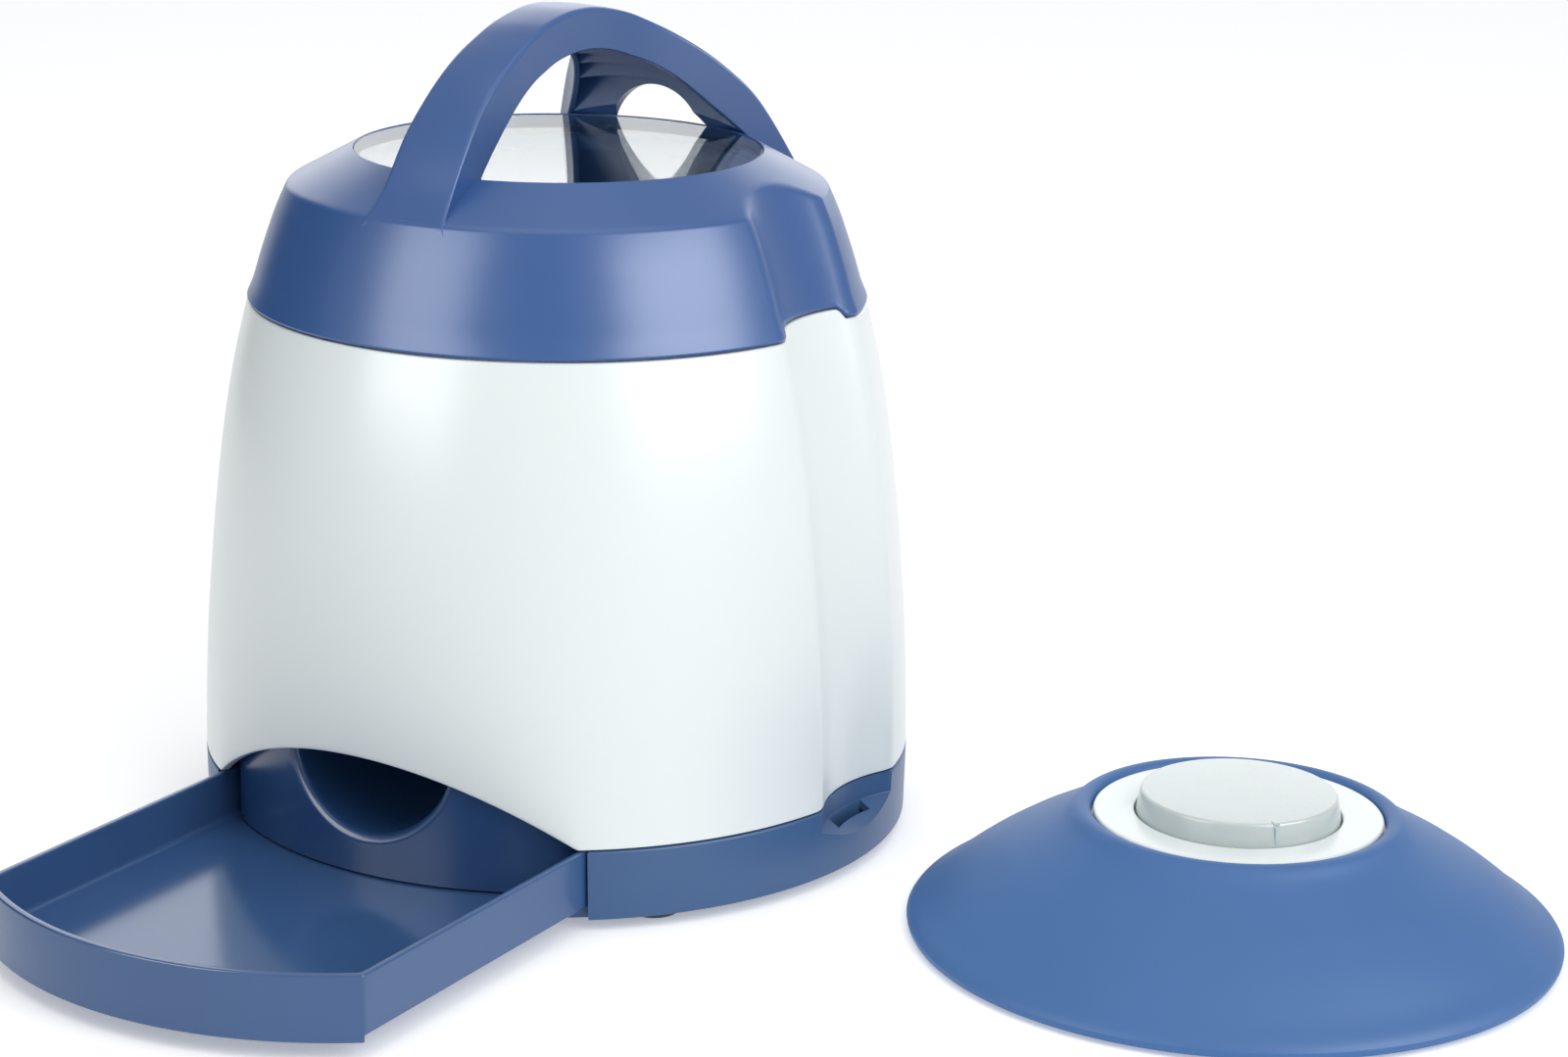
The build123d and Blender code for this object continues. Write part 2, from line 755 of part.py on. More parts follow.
# Rotor housing
drop_y = -collar_back + bend
idler_y = tooth_module * (rim_teeth + small_teeth) / 2
housing = rod(plate_r, plate_low, plate_top) + sleeve(drum_outer, drum_inner, plate_top - slit, drum_top)
housing = housing + rod(hub_boss_r, hub_boss_low, plate_low + slit)
for x, y in post_spots:
    housing = housing + rod(post_r, post_low, plate_low + slit, x, y)
    housing = housing - rod(screw_r + fit_gap, post_low - overshoot, post_low + screw_bite, x, y)
housing = housing - rod(outlet_r, plate_low - overshoot, plate_top + overshoot, 0, drop_y)
housing = housing - rod(rotor_pin_r + fit_gap, hub_boss_low - overshoot, plate_top + overshoot)
housing = housing - rod(plate_bore, plate_low - overshoot, plate_top + overshoot, 0, idler_y)
housing = housing - block(-pinion_notch_half, pinion_notch_half, drum_inner - wall, idler_y + pinion_notch_half,
                          plate_top, rotor_low + 2 * gear_face)
for x, y in standoff_spots:
    housing = housing - rod(screw_r + fit_gap, plate_low - overshoot, plate_top - slit, x, y)
save("rotor_housing", housing)

# Rotor and its pin
rim_gear = gear(tooth_module, rim_teeth, rotor_low, gear_top, pi / 2)
rotor = rim_gear + rod(rotor_wall_r, rotor_low, rotor_top)
rotor = rotor - rod(rotor_wall_r - paddle, rotor_low - overshoot, rotor_top + overshoot)
rotor = rotor + rod(rotor_hub_r, rotor_low, rotor_top)
for number in range(paddle_count):
    turn = 360 * number / paddle_count
    blade = block(rotor_hub_r / 2, rotor_wall_r - paddle / 2, -paddle / 2, paddle / 2, rotor_low, rotor_top)
    rotor = rotor + Rot(0, 0, turn) * blade
rotor = rotor - rod(rotor_pin_r + fit_gap, rotor_low - overshoot, rotor_top + overshoot)
save("dosing_rotor", rotor)
save("rotor_pin", rod(rotor_pin_r, rotor_pin_low, rotor_pin_top))

# Step-down gear and its pin
small_gear = gear(tooth_module, small_teeth, rotor_low, gear_top, -pi / 2 + pi / small_teeth)
idler = Pos(0, idler_y, 0) * small_gear
big_phase = radians(motor_angle)
idler = idler + Pos(0, idler_y, 0) * gear(fine_module, big_teeth, big_gear_low, big_gear_top, big_phase)
idler = idler + rod(idler_hub_r, big_gear_top - slit, rotor_low + slit, 0, idler_y)
idler = idler - rod(idler_pin_r + fit_gap, bracket_low, idler_pin_top + overshoot, 0, idler_y)
save("idler_gear", idler)
save("idler_pin", rod(idler_pin_r, bracket_low, idler_pin_top, 0, idler_y))

# Motor, its shaft, pinion and bracket
centre_distance = fine_module * (big_teeth + pinion_teeth) / 2
motor_x = centre_distance * cos(big_phase)
motor_y = idler_y + centre_distance * sin(big_phase)
pinion = gear(fine_module, pinion_teeth, pinion_low, pinion_top, big_phase + pi + pi / pinion_teeth)
pinion = Pos(motor_x, motor_y, 0) * pinion
pinion = pinion - rod(shaft_r, pinion_low - overshoot, pinion_top + overshoot, motor_x, motor_y)
save("motor_pinion", pinion)
save("motor_shaft", rod(shaft_r, shaft_low, shaft_top, motor_x, motor_y))
motor = rod(motor_r, motor_low, bracket_low, motor_x, motor_y)
motor = motor + rod(motor_end_r, motor_low - motor_end, motor_low + slit, motor_x, motor_y)
motor = motor - rod(shaft_r + fit_gap, shaft_low - slit, bracket_low + overshoot, motor_x, motor_y)
motor_screw_spots = [(motor_x + side * motor_screw_reach, motor_y) for side in (-1, 1)]
for x, y in motor_screw_spots:
    motor = motor - rod(small_screw_r + fit_gap, bracket_low - 2 * wall, bracket_low + overshoot, x, y)
save("motor_can", motor)
bracket = block(-bracket_left, bracket_right, bracket_front, bracket_back, bracket_low, bracket_top)
bracket = bracket & rod(bracket_r, bracket_low, bracket_top)
for x, y in standoff_spots:
    bracket = bracket + rod(standoff_r, bracket_low, plate_low, x, y)
    bracket = bracket - rod(screw_r + fit_gap, bracket_low - overshoot, plate_top, x, y)
for x, y in motor_screw_spots:
    bracket = bracket - rod(small_screw_r + fit_gap, bracket_low - overshoot, bracket_top + overshoot, x, y)
shaft_hole = rod(shaft_r + 2 * slit, bracket_low - overshoot, bracket_top + overshoot, motor_x, motor_y)
idler_hole = rod(idler_pin_r + fit_gap, bracket_low - overshoot, bracket_top + overshoot, 0, idler_y)
bracket = bracket - shaft_hole - idler_hole
save("motor_bracket", bracket)
motor_screws = [rod(small_head_r, bracket_top, pinion_low - touch, x, y)
                + rod(small_screw_r, bracket_low - wall, bracket_top + slit, x, y)
                for x, y in motor_screw_spots]
save("motor_screws", group(motor_screws))
bracket_screws = [screw(x, y, bracket_low - screw_head, plate_top - bracket_low + screw_head - 2 * slit)
                  for x, y in standoff_spots]
save("bracket_screws", group(bracket_screws))

# Food bin
hopper = rod(bin_flange_r, drum_top, drum_top + bin_floor)
cone_low = drum_top + slit
outer_low = Pos(0, bin_drop_y, cone_low) * Circle(bin_drop_r + bin_wall)
outer_high = Pos(0, 0, bin_cone_top) * Circle(bin_r + bin_wall)
inner_low = Pos(0, bin_drop_y, cone_low) * Circle(bin_drop_r)
inner_high = Pos(0, 0, bin_cone_top) * Circle(bin_r)
hopper = hopper + loft([outer_low, outer_high])
hopper = hopper + rod(bin_r + bin_wall, bin_cone_top - slit, bin_top)
lip = rod(bin_lip_r, bin_top - bin_lip, bin_top)
for cutter in groove_clears:
    lip = lip - cutter
hopper = hopper + lip
hopper = hopper - loft([inner_low, inner_high])
hopper = hopper - rod(bin_r, bin_cone_top - touch, bin_top + overshoot)
hopper = hopper - rod(bin_drop_r, drum_top - overshoot, cone_low + slit, 0, bin_drop_y)
save("hopper", hopper)

# Lid with its handle
lid_inner = [(radius - lid_wall, height) for radius, height in lid_profile]
lid = turned_curve(lid_profile, [(lid_edge_r, lid_edge_z), (0, lid_edge_z), (0, lid_low)])
soft_edges = lid.edges().filter_by(lambda edge: abs(edge.center().Z - shoulder_z) < slit)
lid = fillet(soft_edges, shoulder_soft)
hollow = turned_curve(lid_inner, [(lid_edge_r, lid_edge_z - slope_drop), (0, lid_edge_z - slope_drop),
                                  (0, lid_low)])
for cutter in groove_walls:
    hollow = hollow - cutter
for cutter in grooves:
    lid = lid - cutter
lid = lid - hollow
lid = lid - rod(lid_edge_r, lid_low, lid_edge_z + overshoot)
lid_solid = turned_curve(lid_profile, [(lid_edge_r, lid_edge_z), (0, lid_edge_z), (0, lid_low)])
collar = sleeve(collar_r, collar_inner, collar_low, lid_edge_z) & lid_solid
lid = lid + collar
plug = sleeve(plug_r, plug_r - plug_wall, plug_low, plug_top)
for cutter in groove_clears:
    plug = plug - cutter
lid = lid + plug
lid = lid - rod(collar_inner, lid_low, seat_z)
for side in (-1, 1):
    flank = sorted([side * ring_r, side * lid_edge_r])
    tab_room = tab_half + slit
    lid = lid - block(flank[0], flank[1], -tab_room, tab_room, lid_low - overshoot, tab_top + slit)
for number in range(ring_screw_count):
    turn = 2 * pi * (number + 1 / 2) / ring_screw_count
    x = ring_screw_circle * cos(turn)
    y = ring_screw_circle * sin(turn)
    lid = lid - rod(small_screw_r + fit_gap, collar_low - overshoot, seat_z - wall / 2, x, y)

outer_dome = turned_curve(dome_profile, [(dome_profile[-1][0], handle_root), (0, handle_root)])
hand_space = turned_curve(hand_profile, [(hand_profile[-1][0], handle_root - overshoot),
                                         (0, handle_root - overshoot)])


def handle_plan(inset):
    right = [(x - inset, y) for x, y in handle_side]
    left = [(-x, y) for x, y in reversed(right)]
    front = -handle_front
    side_curve = Spline([(x, y, 0) for x, y in right], tangents=[(0, 1, 0), (1, 1, 0)])
    other_curve = Spline([(x, y, 0) for x, y in left], tangents=[(1, -1, 0), (0, -1, 0)])
    back = Line((right[-1][0], right[-1][1], 0), (left[0][0], left[0][1], 0))
    nose = Polyline([(left[-1][0], left[-1][1], 0), (left[-1][0], front, 0), (right[0][0], front, 0),
                     (right[0][0], right[0][1], 0)])
    outline = make_face([side_curve, back, other_curve, nose])
    return Pos(0, 0, handle_root - overshoot) * extrude(outline, 2 * ring_r)


crotch_profile = Ellipse(crotch_half, crotch_rise)
crotch = Pos(0, crotch_front, crotch_z) * (Rot(-90, 0, 0) * extrude(crotch_profile, ring_r))
handle = (outer_dome - hand_space) & handle_plan(0)
roof_dome = turned_curve([(radius, height - roof) for radius, height in roof_profile],
                         [(roof_profile[-1][0], handle_root - overshoot), (0, handle_root - overshoot)])
channel = roof_dome & handle_plan(rim)
crotch_outer = Ellipse(crotch_half + rim, crotch_rise + rim)
crotch_skin = Pos(0, crotch_front, crotch_z) * (Rot(-90, 0, 0) * extrude(crotch_outer, ring_r))
channel = channel - crotch_skin
rib_floor = turned_curve([(radius, height + rib_raise) for radius, height in hand_profile],
                         [(hand_profile[-1][0], handle_root - overshoot), (0, handle_root - overshoot)])
ribs = union([block(offset * rib_gap - rib_width / 2, offset * rib_gap + rib_width / 2, -rib_back, rib_back,
                    handle_root, dome_profile[0][1]) for offset in (-1, 0, 1)])
channel = channel - (ribs - rib_floor)
handle = handle - channel - crotch
handle = handle - hollow - rod(lid_edge_r, handle_root - overshoot, window_top + slit)
handle = handle - rod(collar_inner, handle_root - overshoot, seat_z)
lid = lid + handle
save("lid_cover", lid)

# Window, its ring and the ring's screws
window = rod(window_r, flange_low, window_top) + rod(flange_r, flange_low, seat_z)
window = window - rod(window_r - window_skin, flange_low - overshoot, window_top - window_skin)
save("lid_window", window)
retainer = sleeve(retainer_r, retainer_inner, retainer_low, collar_low)
retainer = retainer + sleeve(flange_r, retainer_inner, collar_low - slit, retainer_lip_top)
ring_screws = []
for number in range(ring_screw_count):
    turn = 2 * pi * (number + 1 / 2) / ring_screw_count
    x = ring_screw_circle * cos(turn)
    y = ring_screw_circle * sin(turn)
    retainer = retainer - rod(small_screw_r + slit, retainer_low - overshoot, collar_low + overshoot, x, y)
    ring_screws.append(screw(x, y, retainer_low - small_head, seat_z - wall - retainer_low + small_head,
                             small_screw_r, small_head_r, small_head))
save("window_ring", retainer)
save("ring_screws", group(ring_screws))

# Tray, in the pulled-out pose
tray_y = -pull
front_disc = rod(tray_r, tray_front_low, tray_top, 0, tray_y)
inner_disc = rod(tray_r - tray_front_wall, tray_front_low - overshoot, tray_top + overshoot, 0, tray_y)
strip = block(-tray_half, tray_half, tray_y - tray_r - overshoot, -tray_back, tray_front_low, tray_top)
outer_tray = strip & (front_disc + block(-tray_r, tray_r, tray_y, 0, tray_front_low, tray_top))
inner_plan = inner_disc + block(-tray_r, tray_r, tray_y, 0, 0, tray_floor_low)
bottom_cut = block(-tray_r, tray_r, tray_y - tray_r, 0, 0, tray_floor_low) & inner_plan
tray = outer_tray - bottom_cut
inside = block(-tray_half + tray_wall, tray_half - tray_wall, tray_y - tray_r, overshoot,
               tray_floor_low + tray_floor, tray_top + overshoot)
inside = inside & (rod(tray_r - tray_front_wall, 0, 2 * tray_top, 0, tray_y)
                   + block(-tray_r, tray_r, tray_y, overshoot, 0, 2 * tray_top))
soft_inside = inside.edges().filter_by(lambda edge: abs(edge.center().Z - tray_floor_low - tray_floor) < slit
                                       and edge.center().Y < -overshoot)
inside = fillet(soft_inside, tray_soft)
tray = tray - inside
save("tray", tray)

# Feeder batteries, contacts and cover
cells = []
contacts = []
for number, y in enumerate(cell_rows):
    end = 1 if number % 2 == 0 else -1
    body = lying_rod(cell_r, -cell_length / 2, cell_length / 2, y, cell_z)
    nub_low, nub_high = sorted([end * cell_length / 2, end * (cell_length / 2 + nub)])
    body = body + lying_rod(nub_r, nub_low, nub_high, y, cell_z)
    cells.append(body)
    for side in (-1, 1):
        plate_low_x, plate_high_x = sorted([side * bay_half, side * (bay_half - contact_plate)])
        plate = block(plate_low_x, plate_high_x, y - contact_half, y + contact_half,
                      cell_z - contact_half, cell_z + contact_half)
        tip = cell_length / 2 + touch + (nub if side == end else 0)
        foot = bay_half - contact_plate / 2
        contacts.append(plate + lying_cone(spring_foot_r, spring_tip_r, foot, tip, side, y, cell_z))
save("feeder_batteries", group(cells))
save("feeder_contacts", group(contacts))
door = block(-door_half, door_half, door_front, door_back, ring_low, door_top)
for number in range(door_grip_count):
    y = door_front + door_grip_start + number * door_grip_pitch
    door = door - block(-door_grip_half, door_grip_half, y, y + door_grip, ring_low - overshoot,
                        ring_low + door_grip_depth)
save("feeder_battery_cover", door)

# Power switch
switch = block(switch_x - switch_half, switch_x + switch_half, switch_y - switch_depth_half,
               switch_y + switch_depth_half, floor_top, switch_top)
slider_room = slider_half + knob_travel / 2 + slit
switch = switch - block(switch_x - slider_room, switch_x + slider_room, switch_y - knob_depth_half - slit,
                        switch_y + knob_depth_half + slit, floor_top - overshoot, floor_top + wall)
save("switch_housing", switch)
knob_x = switch_x - knob_travel / 2
slider = block(knob_x - slider_half, knob_x + slider_half, switch_y - knob_depth_half,
               switch_y + knob_depth_half, floor_top + slit / 2, floor_top + wall - slit)
slider = slider + block(knob_x - knob_half, knob_x + knob_half, switch_y - knob_depth_half,
                        switch_y + knob_depth_half, knob_low, floor_top + wall / 2)
save("switch_slider", slider)

# Control board
board = block(-board_half_x, board_half_x, board_front, board_back, board_low, board_low + board_thick)
for x, y in board_spots:
    board = board - rod(small_screw_r + slit, board_low - overshoot, board_low + overshoot, x, y)
save("control_board", board)
board_top = board_low + board_thick
mid_y = (board_front + board_back) / 2
chips = [block(-chip_half, chip_half, mid_y - chip_half, mid_y + chip_half, board_top, board_top + chip_height),
         block(2 * chip_half, 4 * chip_half, mid_y, mid_y + 2 * chip_half, board_top,
               board_top + 2 * chip_height),
         rod(can_cap_r, board_top, board_top + can_cap_height, -3 * chip_half, mid_y + chip_half),
         block(-4 * chip_half, -2 * chip_half, mid_y - 3 * chip_half, mid_y - 3 * chip_half + plug_half,
               board_top, board_top + plug_height),
         block(-plug_half, plug_half, board_back - plug_half - board_thick, board_back - board_thick, board_top,
               board_top + plug_height)]
save("board_parts", group(chips))
board_screws = [rod(small_head_r, board_top, board_top + small_head, x, y)
                + rod(small_screw_r, deck_top + slit, board_top + slit, x, y) for x, y in board_spots]
save("board_screws", group(board_screws))

# Screws through the base
base_head = ring_low + slit
save("post_screws", group([screw(x, y, base_head, post_low + screw_bite - base_head - wall / 2)
                           for x, y in post_spots]))
save("body_screws", group([screw(x, y, base_head, floor_top + screw_bite - base_head - wall / 2)
                           for x, y in foot_spots]))

# Buzzer cover
skirt_lip = [(crest_r, crest_z), (lip_r, lip_z), (lip_r, lip_low), (lip_inner_r, lip_low)]
skirt_hem = [(skirt_low_r - thin_wall, skirt_low), (skirt_low_r, skirt_low)]
skirt = turned_curve(skirt_profile, skirt_lip + skirt_inner[::-1] + skirt_hem, buzzer_x, buzzer_y)
save("buzzer_cover", skirt)

# Buzzer upper case
case_line = [(radius, height - case_drop) for radius, height in skirt_inner[1:]]
case_line = case_line + [(lip_inner_r, lip_low - case_drop), (case_r, lip_low - case_drop)]
case_under = [(radius - slit, height - case_skin) for radius, height in case_line[:-1]]
foot_line = [(case_line[0][0] - thin_wall, case_low), (case_line[0][0], case_low)]
case = turned([(case_hole_r, case_top), (case_hole_r, case_step_z), (lip_inner_r - case_skin, case_step_z)]
              + case_under[::-1] + foot_line + case_line + [(case_r, case_top)], buzzer_x, buzzer_y)
case_fill = turned([(0, case_low)] + [(case_under[0][0], case_low)]
                   + [(radius, height + case_skin / 2) for radius, height in case_under]
                   + [(0, case_step_z)], buzzer_x, buzzer_y)
buzzer_bosses = [(buzzer_x + x, buzzer_y + y) for x, y in around(buzzer_boss_circle, quarter_turns)]
for x, y in buzzer_bosses:
    case = case + (rod(buzzer_boss_r, case_low, case_top, x, y) & case_fill)
    case = case + rod(buzzer_boss_r, buzzer_base_top, case_low + slit, x, y)
    case = case - rod(small_screw_r + fit_gap, 0, buzzer_base_top + small_bite + slit, x, y)
save("buzzer_housing", case)

# Buzzer base
posts = [(buzzer_x + x, buzzer_y + y) for x, y in around(buzzer_post_circle, quarter_turns)]
foot_places = [(buzzer_x + x, buzzer_y + y) for x, y in around(buzzer_foot_circle, buzzer_foot_turns)]
plate = rod(buzzer_base_r, buzzer_base_low, buzzer_base_top, buzzer_x, buzzer_y)
for x, y in posts:
    plate = plate + rod(buzzer_post_r, buzzer_base_top - slit, buzzer_board_low, x, y)
    plate = plate - rod(small_screw_r + fit_gap, buzzer_base_top + slit, buzzer_board_low + overshoot, x, y)
plate = plate - block(buzzer_x - small_bay_half, buzzer_x + small_bay_half, buzzer_y + small_bay_front,
                      buzzer_y + small_bay_back, 0, buzzer_base_top + overshoot)
bay_rim = block(buzzer_x - small_bay_half - bay_wall, buzzer_x + small_bay_half + bay_wall,
                buzzer_y + small_bay_front - bay_wall, buzzer_y + small_bay_back + bay_wall,
                buzzer_base_top - slit, buzzer_base_top + small_cell_r)
bay_rim = bay_rim - block(buzzer_x - small_bay_half, buzzer_x + small_bay_half, buzzer_y + small_bay_front,
                          buzzer_y + small_bay_back, 0, ring_r)
plate = plate + bay_rim
plate = plate - block(buzzer_x - small_door_half - slit, buzzer_x + small_door_half + slit,
                      buzzer_y + small_door_front - small_door_slide - slit, buzzer_y + small_door_back + slit,
                      0, small_door_top + slit / 2)
for x, y in buzzer_bosses:
    plate = plate - rod(small_screw_r + slit, 0, ring_r, x, y)
    plate = plate - rod(small_head_r + slit, 0, buzzer_base_low + small_head, x, y)
for x, y in foot_places:
    plate = plate - rod(buzzer_foot_r + slit, 0, buzzer_base_low + buzzer_foot_pocket, x, y)
save("buzzer_base", plate)
save("buzzer_feet", group([rod(buzzer_foot_r, 0, buzzer_base_low + buzzer_foot_pocket, x, y)
                           for x, y in foot_places]))
buzzer_screws = [screw(x, y, buzzer_base_low, buzzer_base_thick + small_bite, small_screw_r, small_head_r,
                       small_head - slit / 2) for x, y in buzzer_bosses]
save("buzzer_screws", group(buzzer_screws))

# Push button, its carrier and spring
cap = turned([(0, cap_flange_low), (cap_flange_r, cap_flange_low), (cap_flange_r, cap_flange_top),
              (cap_r_low, cap_flange_top), (cap_r_low, case_top), (cap_r_top, cap_top - cap_dome),
              (0, cap_top)], buzzer_x, buzzer_y)
cap_edges = cap.edges().filter_by(lambda edge: abs(edge.center().Z - cap_top + cap_dome) < slit)
cap = fillet(cap_edges, cap_soft)
cap = cap - turned([(0, 0), (cap_r_top - cap_skin, 0), (cap_r_top - cap_skin, cap_top - cap_dome - cap_skin),
                    (0, cap_top - cap_skin)], buzzer_x, buzzer_y)
save("button_cap", cap)
carrier = rod(carrier_r, carrier_low, cap_flange_low, buzzer_x, buzzer_y)
carrier = carrier + rod(carrier_stem_r, carrier_stem_low, carrier_low + slit, buzzer_x, buzzer_y)
save("button_carrier", carrier)
spring = sleeve(spring_coil_r + spring_wire / 2, spring_coil_r - spring_wire / 2, board_face, carrier_low,
                buzzer_x, buzzer_y)
save("button_spring", spring)

# Buzzer board, switch and lights
buzzer_board = rod(buzzer_board_r, buzzer_board_low, board_face, buzzer_x, buzzer_y)
for x, y in posts:
    buzzer_board = buzzer_board - rod(small_screw_r + slit, 0, ring_r, x, y)
save("buzzer_board", buzzer_board)
tact = block(buzzer_x - tact_half, buzzer_x + tact_half, buzzer_y - tact_half, buzzer_y + tact_half,
             board_face, board_face + tact_height)
tact = tact + rod(tact_stem_r, board_face, tact_stem_top, buzzer_x, buzzer_y)
save("tact_switch", tact)
lights = []
for number in range(light_count):
    turn = number * 2 * pi / light_count
    lights.append(rod(light_r, board_face, board_face + light_height, buzzer_x + light_circle * cos(turn),
                      buzzer_y + light_circle * sin(turn)))
save("buzzer_lights", group(lights))
save("buzzer_board_screws", group([rod(small_head_r, board_face, board_face + small_head, x, y)
                                   + rod(small_screw_r, buzzer_base_top + 2 * slit, board_face + slit, x, y)
                                   for x, y in posts]))

# Buzzer batteries, contacts and cover
small_cells = []
small_contacts = []
for number, row in enumerate(small_cell_rows):
    end = 1 if number % 2 == 0 else -1
    y = buzzer_y + row
    body = Pos(buzzer_x, 0, 0) * lying_rod(small_cell_r, -small_cell_length / 2, small_cell_length / 2, y,
                                           small_cell_z)
    nub_low, nub_high = sorted([end * small_cell_length / 2, end * (small_cell_length / 2 + nub)])
    body = body + Pos(buzzer_x, 0, 0) * lying_rod(small_nub_r, nub_low, nub_high, y, small_cell_z)
    small_cells.append(body)
    for side in (-1, 1):
        plate_low_x, plate_high_x = sorted([side * small_bay_half, side * (small_bay_half - contact_plate)])
        contact = block(buzzer_x + plate_low_x, buzzer_x + plate_high_x, y - contact_half, y + contact_half,
                        buzzer_base_top, small_cell_z + spring_tip_r)
        tip = small_cell_length / 2 + touch + (nub if side == end else 0)
        foot = small_bay_half - contact_plate / 2
        cone = lying_cone(spring_tip_r, spring_tip_r * small_tip_share, foot, tip, side, y,
                          small_cell_z - spring_tip_r / 2)
        small_contacts.append(contact + Pos(buzzer_x, 0, 0) * cone)
save("buzzer_batteries", group(small_cells))
save("buzzer_contacts", group(small_contacts))
small_door = block(buzzer_x - small_door_half, buzzer_x + small_door_half, buzzer_y + small_door_front,
                   buzzer_y + small_door_back, buzzer_base_low, small_door_top)
for number in range(door_grip_count):
    y = buzzer_y + small_door_front + door_grip_start + number * door_grip_pitch
    small_door = small_door - block(buzzer_x - door_grip_half, buzzer_x + door_grip_half, y, y + door_grip, 0,
                                    buzzer_base_low + door_grip_depth)
save("buzzer_battery_cover", small_door)
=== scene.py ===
import json
import math
import bmesh
import bpy
import numpy as np
from mathutils import Matrix

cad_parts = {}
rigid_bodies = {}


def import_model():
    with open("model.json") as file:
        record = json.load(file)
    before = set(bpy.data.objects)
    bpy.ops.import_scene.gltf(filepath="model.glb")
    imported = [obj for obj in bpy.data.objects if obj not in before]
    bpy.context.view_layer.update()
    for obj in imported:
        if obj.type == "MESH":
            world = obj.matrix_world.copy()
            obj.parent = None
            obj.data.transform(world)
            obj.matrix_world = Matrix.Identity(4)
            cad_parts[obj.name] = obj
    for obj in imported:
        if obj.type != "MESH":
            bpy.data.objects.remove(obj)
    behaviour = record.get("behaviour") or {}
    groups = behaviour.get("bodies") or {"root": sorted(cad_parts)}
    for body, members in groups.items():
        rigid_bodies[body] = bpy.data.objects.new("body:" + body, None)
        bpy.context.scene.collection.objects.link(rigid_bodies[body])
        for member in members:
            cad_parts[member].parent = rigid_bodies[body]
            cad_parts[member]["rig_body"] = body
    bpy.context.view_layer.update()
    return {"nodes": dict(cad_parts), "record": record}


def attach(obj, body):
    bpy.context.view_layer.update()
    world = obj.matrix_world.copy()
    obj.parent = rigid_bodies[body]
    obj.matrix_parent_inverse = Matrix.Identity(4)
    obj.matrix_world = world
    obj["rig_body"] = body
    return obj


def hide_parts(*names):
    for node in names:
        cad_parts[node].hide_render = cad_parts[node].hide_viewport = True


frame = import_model()
nodes = frame["nodes"]
mm = 0.001
print("frame loaded with", len(nodes), "nodes")


# Numbers and meshes

# natural cubic spline through the knots, returned as a function of one array
def smoothCurve(knots):
    x, y = np.array(knots, float).T
    step = np.diff(x)
    slope = np.diff(y) / step
    matrix = np.eye(len(x))
    right = np.zeros(len(x))
    inner = np.arange(1, len(x) - 1)
    matrix[inner, inner - 1] = step[:-1]
    matrix[inner, inner] = 2 * (step[:-1] + step[1:])
    matrix[inner, inner + 1] = step[1:]
    right[inner] = 6 * np.diff(slope)
    bend = np.linalg.solve(matrix, right)

    def evaluate(value):
        value = np.asarray(value, float)
        index = np.clip(np.searchsorted(x, value) - 1, 0, len(x) - 2)
        t = value - x[index]
        h = step[index]
        first = slope[index] - h * (2 * bend[index] + bend[index + 1]) / 6
        return y[index] + t * (first + t * (bend[index] / 2 + t * (bend[index + 1] - bend[index]) / (6 * h)))

    return evaluate


# the smaller of two arrays, with the crease between them rounded over a width
def roundedMin(a, b, width):
    share = np.clip(0.5 + 0.5 * (b - a) / width, 0, 1)
    return b + (a - b) * share - width * share * (1 - share)


# 0 below the low end, 1 above the high end, an S curve between them
def easeStep(value, low, high):
    t = np.clip((value - low) / (high - low), 0, 1)
    return t * t * (3 - 2 * t)


# four-sided faces of a grid of points, with either direction closed on itself
def gridFaces(rows, columns, closeRows=False, closeColumns=False):
    row, column = np.meshgrid(np.arange(rows if closeRows else rows - 1),
                              np.arange(columns if closeColumns else columns - 1), indexing="ij")
    nextRow = (row + 1) % rows
    nextColumn = (column + 1) % columns
    corners = (row * columns + column, nextRow * columns + column, nextRow * columns + nextColumn,
               row * columns + nextColumn)
    return np.stack(corners, -1).reshape(-1, 4)


# one surface as (points, faces) from a rows by columns by 3 array in millimetres
def surface(points, closeRows=False, closeColumns=False, flip=False):
    rows, columns = points.shape[:2]
    faces = gridFaces(rows, columns, closeRows, closeColumns)
    return points.reshape(-1, 3), faces[:, ::-1] if flip else faces


# six times the volume that a closed surface holds, below zero where its faces look inward
def signedVolume(points, faces):
    a, b, c, d = (points[faces[:, corner]] for corner in range(4))
    return np.sum(a * np.cross(b, c)) + np.sum(a * np.cross(c, d))


# joins surfaces into one mesh object, merges what coincides and marks the creases;
# separate closed solids are turned outward one by one, a patchwork as a whole
def makePiece(name, surfaces, material=None, creaseDegrees=35, mergeMm=0.001, patchwork=False):
    points, faces, offset = [], [], 0
    for part, partFaces in surfaces:
        inward = not patchwork and signedVolume(part, partFaces) < 0
        points.append(part)
        faces.append((partFaces[:, ::-1] if inward else partFaces) + offset)
        offset += len(part)
    mesh = bpy.data.meshes.new(name)
    mesh.from_pydata((np.concatenate(points) * mm).tolist(), [], np.concatenate(faces).tolist())
    mesh.validate()
    piece = bpy.data.objects.new(name, mesh)
    bpy.context.scene.collection.objects.link(piece)
    finishMesh(piece, creaseDegrees, mergeMm, patchwork)
    if material:
        mesh.materials.append(material)
    return piece


